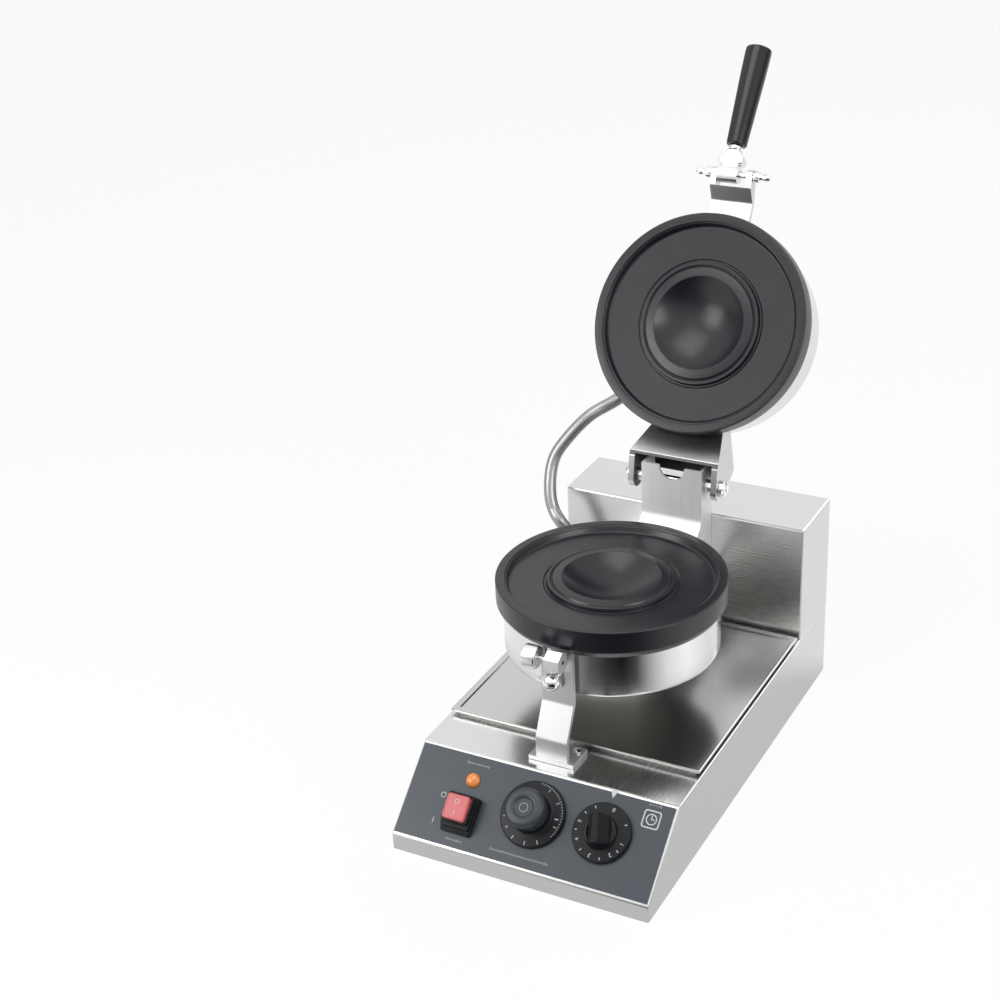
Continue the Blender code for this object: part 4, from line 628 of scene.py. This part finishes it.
def ball_and_keeper():
    seat = 0.0035 + 2 * GAP
    reach = -0.1173 - BRACKET_HIGH + 0.0012 + 3 * GAP
    ball_r = 0.0082
    ball = arc(0, ball_r * math.sin(math.radians(60)) + seat, ball_r, 90, -60, 30)
    ball[0] = (0, ball[0][1])
    mesh = lathe("ball_nut_fine", ball + [(0.0040, seat), (0.0040, -reach), (0, -reach)], 64)
    piece("ball_nut_fine", mesh, "chrome", "base",
          at(BRACKET_X, BRACKET_HIGH, 0.1575) @ ALONG_BACK, ("bracket_ball_bolt",))
    head_y = BRACKET_HIGH - GAP - 0.0104
    tail = block("tail", (0.0120, 0.0035, 0.0305), (BRACKET_X, BRACKET_HIGH - GAP - 0.00175,
                                                    0.16375))
    six = filleted([(0.0104 * math.cos(math.radians(60 * i)),
                     0.0104 * math.sin(math.radians(60 * i)), 0.0016) for i in range(6)], True)
    head = placed(slab("head", six, 0.0140), at(0.0015, head_y, 0.1790) @ ALONG_X)
    bore = placed(rod("bore", 0.0022, 0.05, -0.025), at(0, head_y, 0.1790) @ ALONG_X)
    stud = placed(rod("stud", 0.0043, 0.03, -0.015), at(BRACKET_X, BRACKET_HIGH, 0.1575)
                  @ ALONG_BACK)
    mesh = shaped("keeper_fine", tail, [("UNION", head), ("DIFFERENCE", bore),
                                        ("DIFFERENCE", stud)], 0.0008, 3)
    piece("keeper_fine", mesh, "cast", "base", replaces=("latch_keeper",))
    knob = filleted([(0.0021, 0.0140), (0.0104, 0.0140, 0.0022), (0.0104, 0, 0.0022),
                     (0.0021, 0)])
    piece("keeper_knob_fine", lathe("keeper_knob_fine", knob, 56), "cast", "base",
          at(-0.0285, head_y, 0.1790) @ ALONG_X, ("latch_knob",))


# Hinge
def hinge_bracket():
    front, back, foot, thick = 0.1199, 0.1457, 0.0816, 0.0030
    top, knee, foot_z, rear = 0.2505, 0.1960, 0.1620, 0.1330
    outer = [(front, top), (front, knee, 0.010), (foot, foot_z, 0.006), (foot, foot_z - 0.013),
             (foot + thick, foot_z - 0.013), (back, rear), (back, top)]
    lean = math.atan2(knee - foot_z, front - foot)
    shift = thick * math.tan((math.pi / 2 - lean) / 2)
    inner = [(front + thick, top + 0.002), (front + thick, knee - shift, 0.008),
             (foot + thick, foot_z - shift, 0.004), (foot + thick, rear - 0.002),
             (back + 0.002, rear - 0.002), (back + 0.002, top + 0.002)]
    body = side_slab("channel", filleted(outer, True), 0.0620)
    hollow = side_slab("inside", filleted(inner, True), 0.0560)
    round_notch = arc(0, top - 0.0005, 0.0130, 180, 360, 40)
    round_notch += [(0.0130, top + 0.002), (-0.0130, top + 0.002)]
    notch = front_slab("notch", round_notch, 0.012, front)
    bore = placed(rod("bore", 0.0043, 0.12, -0.06), at(0, HINGE.y, HINGE.z) @ ALONG_X)
    mesh = shaped("hinge_bracket_fine", body, [("DIFFERENCE", hollow), ("DIFFERENCE", notch),
                                               ("DIFFERENCE", bore)], 0.0009, 3, 50)
    piece("hinge_bracket_fine", mesh, "hinge", "base",
          replaces=("hinge_bracket",))


def hinge_bolt():
    """The bolt with its domed slotted heads."""
    outer = 0.0455 + GAP
    head = filleted([(0, 0.0058), (0.0058, 0.0055, 0.0008), (0.0080, 0.0030, 0.0018),
                     (0.0080, 0), (0.0040, 0)])
    shaft = rod("shaft", 0.0040, 2 * outer + 0.004, 0.0)
    slot_tool = block("slot", (0.0016, 0.02, 0.004), (0, 0, 0.0062))
    cross_tool = block("slot2", (0.02, 0.0016, 0.004), (0, 0, 0.0062))
    left = lathe("bolt_head", head + [(0, 0)], 48)
    left = shaped("bolt_head", left, [("DIFFERENCE", slot_tool), ("DIFFERENCE", cross_tool)])
    right = left.copy()
    mesh = merged("hinge_bolt_fine", [shaft, placed(left, turn(180, "X"))])
    place = at(-outer, HINGE.y, HINGE.z) @ ALONG_X
    piece("hinge_bolt_fine", mesh, "chrome", "base", place, ("hinge_bolt",))
    piece("hinge_nut_fine", right, "chrome", "base", place @ at(0, 0, 2 * outer),
          ("hinge_nut",))


def arm_wedge(half_front, half_back, reach):
    right = [(half_front, 0.025), (half_front, -0.0214), (half_back, -reach),
             (half_back, -reach - 0.004)]
    left = [(-across, along) for across, along in reversed(right)]
    return slab("wedge", right + left, 0.22)


def inside(spot, corners):
    """Whether a flat point lies in a closed outline or within a hair of its edge."""
    odd = False
    for start, end in zip(corners, corners[1:] + corners[:1]):
        span = end - start
        share = max(0, min(1, (spot - start).dot(span) / span.length_squared))
        if (spot - start - span * share).length < 0.0004:
            return True
        if (start.y > spot.y) != (end.y > spot.y):
            cross = start.x + span.x * (spot.y - start.y) / span.y
            odd ^= spot.x < cross
    return odd


def lid_arm():
    """The cast box arm: a sloping web, a back wall that runs down to an edge, two cheeks."""
    up = -HINGE_UP
    reach = HINGE_BACK - math.sqrt(PAN_R ** 2 - 0.0345 ** 2)
    slope = (0.0290 - 0.0076) / (HINGE_BACK - PAN_R - 0.0214)
    lip = (-0.0214, up + 0.0076)
    top = (-reach, lip[1] + slope * (reach - 0.0214))
    high = up + 0.0540
    end, bend, wall = (-0.0100, 0.0225), (-0.0220, high), 0.0022
    cheek = [(*lip, 0.0012), (-0.0154, lip[1], 0.0040)]
    cheek += arc(0, 0, 0.0125, -60, 100, 24)
    cheek += [end, (*bend, 0.004), (-reach, high), top]
    body = side_slab("arm", filleted(cheek, True), 0.0910)
    lean = math.atan(slope)
    drop_y, drop_z = 0.0052 * math.sin(lean), 0.0052 * math.cos(lean)
    fall = math.atan2(bend[1] - end[1], end[0] - bend[0])
    end_in = (end[0] - wall * math.sin(fall), end[1] - wall * math.cos(fall))
    bend_in = (bend[0] - wall * math.tan(fall / 2), high - wall, 0.0015)
    floor, roof, front = lip[1] - 0.025, high + 0.002, 0.0375
    pocket = [(lip[0] + drop_y, floor), (front, floor), (front, roof), (end[0], roof), end,
              end_in, bend_in, (top[0] + drop_y, high - wall),
              (top[0] + drop_y, top[1] + drop_z), (lip[0] + drop_y, lip[1] + drop_z)]
    hollow = shaped("pocket", side_slab("pocket", filleted(pocket, True), 0.14),
                    [("INTERSECT", arm_wedge(0.0397, 0.0287, reach))])
    bore = placed(rod("bore", 0.0043, 0.2, -0.1), ALONG_X)
    pan = placed(rod("pan", PAN_R + GAP, 0.0854, 0, 200), at(0, -HINGE_BACK, up))
    mesh = shaped("lid_arm_fine", body,
                  [("INTERSECT", arm_wedge(0.0455, 0.0345, reach)), ("DIFFERENCE", hollow),
                   ("DIFFERENCE", bore), ("DIFFERENCE", pan)], 0.0009, 3)
    item = piece("lid_arm_fine", mesh, ("web", "web_painted_shade"), "lid", LID,
                 ("lid_arm",))
    # Faces inside the pocket take the dark second finish: painted shade in the arm's hollow.
    corners = [Vector(point[:2]) for point in pocket]
    for face in item.data.polygons:
        spot = Vector((face.center.y, face.center.z))
        face.material_index = int(abs(face.center.x) < 0.0400 and inside(spot, corners))


# Lid bracket, cross bolt, yoke and handle
def lid_bracket():
    wall = -HINGE_BACK - PAN_R
    up = -HINGE_UP
    web, thick = up + 0.0285, 0.0050
    knee = EYE.y + 0.0240
    side = [(wall + 0.0025, web + thick), (wall + 0.0025, web), (knee, web, 0.004),
            (EYE.y + 0.0120, up + 0.0160, 0.002)]
    side += arc(EYE.y, EYE.z, 0.0060, 270, 90, 20)
    side.append((knee, web + thick, 0.006))
    body = side_slab("lug", filleted(side, True), 0.0420)
    fork = block("fork", (0.0300, 0.0240, 0.0240), (0, EYE.y, EYE.z))
    bore = placed(rod("bore", 0.0033, 0.08, -0.04), at(*EYE) @ ALONG_X)
    pan = placed(rod("pan", PAN_R + GAP, 0.0854, 0, 200), at(0, -HINGE_BACK, up))
    mesh = shaped("lid_bracket_fine", body, [("DIFFERENCE", fork), ("DIFFERENCE", bore),
                                             ("DIFFERENCE", pan)], 0.0008, 3)
    piece("lid_bracket_fine", mesh, "bracket", "lid", LID, ("lid_bracket",))


def cross_bolt_nuts():
    outline = [(0, 0.0170)] + filleted(
        [(0, 0.0170), (0.0026, 0.0166, 0.001), (0.0036, 0.0126, 0.002), (0.0030, 0.0092, 0.0015),
         (0.0036, 0.0060, 0.0003), (0.0056, 0.0060, 0.0010), (0.0056, 0, 0.0008), (0.0033, 0),
         (0.0033, 0.0063), (0, 0.0063)], steps=5)[1:]
    for number, degrees, side in ((1, 90, 1), (2, -90, -1)):
        place = LID @ at(side * 0.0213, EYE.y, EYE.z) @ turn(degrees, "Y")
        piece(f"cross_nut_fine_{number}", lathe(f"cross_nut_fine_{number}", outline, 40),
              "chrome", "lid", place, (f"cross_bolt_nut_{number}",))


def yoke():
    hub = placed(rod("hub", 0.0085, 0.0200, -0.0100, 64), ALONG_X)
    right = [(0.0085, 0), (0.0085, -0.0085), (0.0125, -0.0100, 0.0020), (0.0125, -0.0150, 0.0030),
             (0.0060, -0.0225, 0.0020), (0.0060, -0.0240)]
    left = [(-point[0], *point[1:]) for point in reversed(right)]
    body = slab("yoke_body", filleted(right + left, True), 0.0130, 0.0018)
    bore = placed(rod("bore", 0.0033, 0.1, -0.05), ALONG_X)
    groove = placed(rod("groove", 0.0032, 0.030, 0.0094), turn(90, "X"))
    relief = [("DIFFERENCE", block("relief", (0.0050, 0.0070, 0.0016),
                                   (side * 0.0062, -0.0135, up * 0.0066), 0.0006))
              for side in (-1, 1) for up in (-1, 1)]
    mesh = shaped("yoke_fine", hub, [("UNION", body), ("DIFFERENCE", bore),
                                     ("DIFFERENCE", groove), *relief], 0.0006, 3)
    piece("yoke_fine", mesh, "cast", "handle", HANDLE @ at(-0.0040, 0, 0),
          ("yoke",))


def grip():
    length, low, top = 0.0990, 0.0100, 0.0128
    line = filleted([(0, length), (top - 0.0002, length, 0.0024), (top, length - 0.0060, 0.010),
                     (top - 0.0004, length * 0.72, 0.02), (low, 0, 0.0022), (0.0036, 0)], steps=8)
    mesh = lathe("grip_fine", [(0, length)] + line[1:] + [(0.0036, 0.0600), (0, 0.0600)], 96, 60)
    place = HANDLE @ at(-0.0040, -0.0286, 0) @ ALONG_BACK
    piece("grip_fine", mesh, "grip", "handle", place, ("handle_grip",))
    ring = filleted([(0.0036, 0.0040), (0.0066, 0.0040, 0.0012), (0.0068, 0, 0.0010),
                     (0.0036, 0)])
    piece("ferrule_fine", lathe("ferrule_fine", ring, 56), "chrome", "handle",
          HANDLE @ at(-0.0040, -0.0243, 0) @ ALONG_BACK, ("ferrule",))


# Controls
def numeral(text, size, place, depth=0.00012):
    """A plain figure in Blender's own font, centred on its place."""
    curve = bpy.data.curves.new("figure", "FONT")
    curve.body = text
    curve.size = size
    curve.align_x = "CENTER"
    curve.align_y = "CENTER"
    curve.extrude = depth / 2
    item = bpy.data.objects.new("figure", curve)
    bpy.context.scene.collection.objects.link(item)
    bpy.context.view_layer.update()
    graph = bpy.context.evaluated_depsgraph_get()
    mesh = bpy.data.meshes.new_from_object(item.evaluated_get(graph))
    bpy.data.objects.remove(item, do_unlink=True)
    return placed(mesh, place)


def bar(width, length, place, depth=0.00012):
    return placed(slab("bar", [(-width / 2, -length / 2), (width / 2, -length / 2),
                               (width / 2, length / 2), (-width / 2, length / 2)], depth), place)


def loop(radius, width, place, steps=32, depth=0.00012):
    outer = arc(0, 0, radius, 0, 360 * (steps - 1) / steps, steps)
    inner = arc(0, 0, radius - width, 0, 360 * (steps - 1) / steps, steps)
    return placed(slab("loop", outer, depth, holes=(inner,)), place)


def clock(degrees, radius, out):
    """A place on a dial: degrees run clockwise from the top of the slope."""
    return turn(-degrees, "Z") @ at(0, radius, out)


PILOT_AT = (-0.0651, 0.0640)
SWITCH_AT = (-0.0650, 0.0316)
TEMPERATURE_AT = (0.0005, 0.0487)
TIMER_AT = (0.0665, 0.0492)
TIMER_SIGN_AT = (0.1050, 0.0718)
POINTER_AT = (0.0656, 0.0846)
PRINT_OUT = 0.0001


def pilot_and_switch():
    dome = arc(0, 0, 0.0068, 90, 0, 20)
    lens_line = [(u, v * 0.0045 / 0.0068) for u, v in dome]
    lens_line += [(0.0055, 0), (0.0055, -0.0028), (0, -0.0028)]
    piece("pilot_lens_fine", lathe("pilot_lens_fine", lens_line, 56), "amber", "base",
          on_panel(*PILOT_AT, GAP), ("pilot_lens",))
    place = on_panel(*SWITCH_AT, GAP)
    blocks = []
    for low, high, side, bottom, top, edge in (
            (0, 0, 0, 0, 0.0030, 0.0012), (0.0014, 0.0001, 0.0004, 0.0024, 0.0045, 0.0010),
            (0.0039, 0.0003, 0.00105, 0.0040, 0.0085, 0.0010),
            (0.0078, 0.0006, 0.0021, 0.0080, 0.0130, 0.0010)):
        mesh = slab("step", rounded_rectangle(0.0300 - 2 * side, 0.0350 - low - high, 0.0030),
                    top - bottom, edge * 0.6)
        blocks.append(placed(mesh, at(0, (low - high) / 2, (top + bottom) / 2)))
    steps = [("UNION", mesh) for mesh in blocks[1:]]
    well = slab("well", rounded_rectangle(0.0230, 0.0238, 0.0020), 0.0120)
    steps.append(("DIFFERENCE", placed(well, at(0, 0.0036, 0.0105))))
    mesh = shaped("boot_fine", blocks[0], steps)
    piece("boot_fine", mesh, "rubber", "base", place, ("rocker_boot",))
    face_w, face_l = 0.0220, 0.0228
    height = 0.0175 - 0.0059
    cap = slab("cap", rounded_rectangle(face_w, face_l, 0.0032), height, 0.0014)
    rim = slab("dip", rounded_rectangle(face_w - 0.0040, face_l - 0.0040, 0.0022), 0.0008)
    mesh = shaped("rocker_fine", placed(cap, at(0, 0, height / 2)),
                  [("DIFFERENCE", placed(rim, at(0, 0, height)))], 0.0003, 2)
    spot = place @ at(0, 0.0036, 0.0059) @ turn(3, "X")
    piece("rocker_fine", mesh, "red", "switch_rocker", spot, ("rocker",))
    marks = [loop(0.0022, 0.0005, at(0, 0.0050, height - 0.0002)),
             bar(0.0006, 0.0040, at(0, -0.0050, height - 0.0002))]
    piece("rocker_marks", merged("rocker_marks", marks), "print", "switch_rocker",
          spot)


def rounded_rectangle(width, length, radius):
    u, v = width / 2, length / 2
    return filleted([(u, -v, radius), (u, v, radius), (-u, v, radius), (-u, -v, radius)], True, 6)


def temperature_knob():
    """A skirted dial under a waisted knob whose wide top is dished."""
    place = on_panel(*TEMPERATURE_AT, GAP)
    top = 0.0280
    line = [(0, top - 0.0018)] + filleted(
        [(0, top - 0.0018), (0.0078, top - 0.0018, 0.0015), (0.0098, top - 0.0004, 0.0012),
         (0.0112, top, 0.001), (0.0160, top - 0.0003, 0.005), (0.0183, top - 0.0040, 0.003),
         (0.0182, top - 0.0095, 0.003), (0.0168, 0.0130, 0.010), (0.0180, 0.0050, 0.0015),
         (0.0204, 0.0047, 0.0006), (0.0290, 0.0040, 0.0008), (0.0300, 0.0028, 0.0008),
         (0.0300, 0, 0.0004), (0.0030, 0), (0.0030, -0.0034), (0, -0.0034)], steps=7)[1:]
    mesh = lathe("temperature_knob_fine", line, 144, 50)
    item = piece("temperature_knob_fine", mesh, ("knob", "cap"), "temperature_dial",
                 place, ("temperature_knob",))
    for face in item.data.polygons:
        face.material_index = int(face.center.z > 0.0100)
    marks = [loop(0.0040, 0.0003, at(0, 0, top - 0.0017)),
             bar(0.0009, 0.0036, clock(88, 0.0238, 0.0047))]
    skirt = 0.0045
    for i in range(24):
        marks.append(loop(0.00045, 0.0004, clock(2 + i * 5.2, 0.0278, skirt - 0.0003), 10))
    for number, degrees in (("1", 22), ("2", 55), ("3", 104), ("4", 228), ("5", 252)):
        marks.append(numeral(number, 0.0040, clock(degrees, 0.0250, skirt + 0.0001)))
    for degrees in (150, 176, 204):
        marks.append(bar(0.0007, 0.0034, clock(degrees, 0.0262, skirt - 0.0001)))
    piece("temperature_marks", merged("temperature_marks", marks), "print", "temperature_dial",
          place)


def timer_knob():
    """A dial with a raised hub and a wedge blade cut to a round, its top edge narrow."""
    place = on_panel(*TIMER_AT, GAP)
    line = [(0, 0.0080)] + filleted(
        [(0, 0.0080), (0.0145, 0.0080, 0.0010), (0.0155, 0.0046, 0.0008), (0.0258, 0.0042, 0.0008),
         (0.0267, 0.0030, 0.0008), (0.0267, 0, 0.0004), (0.0030, 0), (0.0030, -0.0034),
         (0, -0.0034)], steps=6)[1:]
    dial = lathe("timer_dial", line, 144, 50)
    half, roof = 0.0095, 0.0025
    section = [(-half, 0.0040), (half, 0.0040), (half, 0.0110, 0.0008), (roof, 0.0225, 0.0008),
               (-roof, 0.0225, 0.0008), (-half, 0.0110, 0.0008)]
    drum = lathe("drum", [(0, 0)] + filleted([(0, 0), (0.0145, 0), (0.0142, 0.0170, 0.01),
                                              (0.0128, 0.0240)], steps=6)[1:] + [(0, 0.0240)], 96)
    blade = shaped("blade", placed(front_slab("blade", filleted(section, True), 0.0600),
                                   turn(15, "Z")), [("INTERSECT", drum)], 0.0006, 3)
    mesh = shaped("timer_knob_fine", dial, [("UNION", blade)])
    piece("timer_knob_fine", mesh, "knob", "timer_dial", place,
          ("timer_knob",))
    marks = []
    level = 0.0043
    for number, degrees in (("0", 14), ("1", 104), ("2", 140), ("3", 190), ("4", 240),
                            ("5", 282)):
        marks.append(numeral(number, 0.0050, clock(degrees, 0.0218, level + 0.0001)))
    for degrees in (60, 122, 165, 215, 262, 305, 330):
        marks.append(bar(0.0007, 0.0034, clock(degrees, 0.0224, level)))
    piece("timer_marks", merged("timer_marks", marks), "print", "timer_dial",
          place)


def panel_marks():
    """Plain marks on the film: pointer, clock sign, off and on signs, and rows of ticks."""
    marks = [placed(slab("pointer", [(-0.0036, 0.0036), (0, -0.0036), (0.0036, 0.0036)], 0.00012),
                    on_panel(*POINTER_AT, PRINT_OUT))]
    spot = on_panel(*TIMER_SIGN_AT, PRINT_OUT)
    outer = rounded_rectangle(0.0160, 0.0160, 0.0030)
    inner = rounded_rectangle(0.0138, 0.0138, 0.0022)
    marks.append(placed(slab("frame", outer, 0.00012, holes=(inner,)), spot))
    marks.append(loop(0.0050, 0.0009, spot))
    marks.append(bar(0.0008, 0.0040, spot @ at(0, 0.0016, 0)))
    marks.append(bar(0.0030, 0.0008, spot @ at(0.0014, 0, 0)))
    marks.append(loop(0.0026, 0.0006, on_panel(-0.0880, 0.0450, PRINT_OUT)))
    marks.append(bar(0.0007, 0.0052, on_panel(-0.0900, 0.0210, PRINT_OUT)))
    for x, up, count, pitch, tall in ((-0.0651, 0.0790, 11, 0.0021, 0.0024),
                                      (-0.0640, 0.0085, 8, 0.0021, 0.0024),
                                      (-0.0010, 0.0105, 27, 0.0021, 0.0026),
                                      (0.1050, 0.0842, 6, 0.0021, 0.0022)):
        for i in range(count):
            length = tall if i % 5 == 0 else tall * 0.6
            across = x + (i - (count - 1) / 2) * pitch
            marks.append(bar(0.00045, length, on_panel(across, up, PRINT_OUT)))
    piece("panel_marks", merged("panel_marks", marks), "print", "base")


# CAD nodes that stay, by finish
KEPT = {
    "steel_x": ("rear_housing", "bottom_plate", "hinge_spacer_1", "hinge_spacer_2",
                "bracket_spacer", "lower_heater", "lid_heater", "lower_heater_clamp",
                "lid_heater_clamp", "thermostat_body", "timer_body", "handle_rod"),
    "steel_y": ("base_shell",),
    "tray": ("drip_tray",),
    "slate": ("control_panel",),
    "cast": ("thermostat_bulb",),
    "chrome": ("bottom_plate_screw_1", "bottom_plate_screw_2", "bottom_plate_screw_3",
               "bottom_plate_screw_4", "front_bracket_screw_1", "front_bracket_screw_2",
               "latch_pin", "cross_bolt", "base_gland", "lid_gland"),
    "rubber": ("wire_grommet", "lower_wire_sleeve", "inlet_gland"),
    "black": ("switch_body",),
    "ceramic": ("terminal_block", "pilot_lamp_body"),
    "wool": ("lower_insulation", "lid_insulation"),
}


def kept_nodes():
    for key, names in KEPT.items():
        for name in names:
            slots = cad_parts[name].material_slots
            for slot in slots:
                slot.material = MATERIALS[key]


# Stage
def floor_paint():
    """Pale paper: near white to the camera, and a studio's light and dark to the steel."""
    paint = Finish("floor_paper", (0.93, 0.93, 0.93), 0.9, 0.0)
    tree = paint.tree
    sheet = tree.nodes["Material Output"].inputs["Surface"]
    spot = paint.node("ShaderNodeSeparateXYZ")
    paint.link(tree.nodes.new("ShaderNodeNewGeometry").outputs["Position"], spot.inputs[0])

    def work(operation, *values):
        made = tree.nodes.new("ShaderNodeMath")
        made.operation = operation
        for socket, value in zip(made.inputs, values):
            if isinstance(value, (int, float)):
                socket.default_value = value
            else:
                tree.links.new(value, socket)
        return made.outputs["Value"]

    across, along = spot.outputs["X"], work("ADD", spot.outputs["Y"], -PLATE_Y)
    angle = work("MULTIPLY_ADD", work("ARCTAN2", along, across), 0.5 / math.pi, 0.5)
    ramp = tree.nodes.new("ShaderNodeValToRGB")
    tree.links.new(angle, ramp.inputs["Fac"])
    stops = ((-180, 1.0), (-118, 0.95), (-98, 0.28), (-86, 0.10), (-72, 0.03), (-56, 0.0),
             (-43, 0.05), (-30, 0.5), (-14, 0.95), (8, 1.2), (40, 0.92), (180, 1.0))
    elements = ramp.color_ramp.elements
    for degrees, light in stops[1:-1]:
        elements.new((degrees + 180) / 360).color = (light, light, light, 1)
    for element, (degrees, light) in ((elements[0], stops[0]), (elements[-1], stops[-1])):
        element.color = (light, light, light, 1)
    reach = work("SQRT", work("ADD", work("MULTIPLY", across, across),
                              work("MULTIPLY", along, along)))
    far = paint.remap(reach, 0, 1, 0.25, 0.30)
    light = tree.nodes.new("ShaderNodeMix")
    tree.links.new(far, light.inputs["Factor"])
    light.inputs["A"].default_value = 0.68
    tree.links.new(ramp.outputs["Color"], light.inputs["B"])
    mirrored = tree.nodes.new("ShaderNodeEmission")
    tree.links.new(light.outputs["Result"], mirrored.inputs["Strength"])
    seen = tree.nodes.new("ShaderNodeEmission")
    path = tree.nodes.new("ShaderNodeLightPath")
    last = paint.shader.outputs["BSDF"]
    for share, glow in ((work("MULTIPLY", path.outputs["Is Camera Ray"], 0.90), seen),
                        (path.outputs["Is Glossy Ray"], mirrored)):
        mixed = tree.nodes.new("ShaderNodeMixShader")
        tree.links.new(share, mixed.inputs["Fac"])
        tree.links.new(last, mixed.inputs[1])
        tree.links.new(glow.outputs["Emission"], mixed.inputs[2])
        last = mixed.outputs["Shader"]
    tree.links.new(last, sheet)
    return paint.material


def studio_world():
    """White to the camera, soft grey for soft light, and a bright sky over a dim horizon."""
    world = bpy.data.worlds.new("studio")
    bpy.context.scene.world = world
    world.use_nodes = True
    nodes, links = world.node_tree.nodes, world.node_tree.links
    back = nodes["Background"]
    back.inputs["Color"].default_value = (1, 1, 1, 1)
    back.inputs["Strength"].default_value = 0.50
    way = nodes.new("ShaderNodeSeparateXYZ")
    links.new(nodes.new("ShaderNodeTexCoord").outputs["Generated"], way.inputs[0])
    height = nodes.new("ShaderNodeMapRange")
    links.new(way.outputs["Z"], height.inputs["Value"])
    for name, value in (("From Min", 0.05), ("From Max", 0.38), ("To Min", 0.30), ("To Max", 1.02)):
        height.inputs[name].default_value = value
    sky = nodes.new("ShaderNodeBackground")
    links.new(height.outputs["Result"], sky.inputs["Strength"])
    seen = nodes.new("ShaderNodeBackground")
    path = nodes.new("ShaderNodeLightPath")
    last = back
    for ray, light in (("Is Glossy Ray", sky), ("Is Camera Ray", seen)):
        light.inputs["Color"].default_value = (1, 1, 1, 1)
        mixed = nodes.new("ShaderNodeMixShader")
        links.new(path.outputs[ray], mixed.inputs["Fac"])
        links.new(last.outputs[0], mixed.inputs[1])
        links.new(light.outputs[0], mixed.inputs[2])
        last = mixed
    links.new(last.outputs[0], nodes["World Output"].inputs["Surface"])


def stage():
    form = bmesh.new()
    bmesh.ops.create_grid(form, x_segments=1, y_segments=1, size=6)
    mesh = bpy.data.meshes.new("floor")
    form.to_mesh(mesh)
    form.free()
    floor = bpy.data.objects.new("floor", mesh)
    bpy.context.scene.collection.objects.link(floor)
    mesh.materials.append(floor_paint())
    studio_world()
    for name, spot, aim, size, power in (
            ("key", (-0.78, -0.88, 0.74), (0, 0.10, 0.30), 0.6, 5.0),
            ("fill", (1.25, -0.45, 0.85), (0, 0.10, 0.40), 0.7, 6.0),
            ("top", (-0.2, -0.5, 1.9), (0, 0, 0.2), 1.2, 9.0),
            ("rim", (0.4, 1.8, 1.6), (0, 0, 0.3), 0.8, 5.0)):
        light = bpy.data.lights.new(name, "AREA")
        light.size = size
        light.energy = power
        item = bpy.data.objects.new(name, light)
        bpy.context.scene.collection.objects.link(item)
        item.visible_camera = False
        item.location = spot
        way = Vector(aim) - Vector(spot)
        item.rotation_euler = way.to_track_quat("-Z", "Y").to_euler()


def main():
    camera()
    conduit()
    hot_halves()
    front_bracket()
    ball_and_keeper()
    hinge_bracket()
    hinge_bolt()
    lid_arm()
    lid_bracket()
    cross_bolt_nuts()
    yoke()
    grip()
    pilot_and_switch()
    temperature_knob()
    timer_knob()
    panel_marks()
    kept_nodes()
    stage()
    bpy.context.scene.view_settings.view_transform = "Standard"


main()
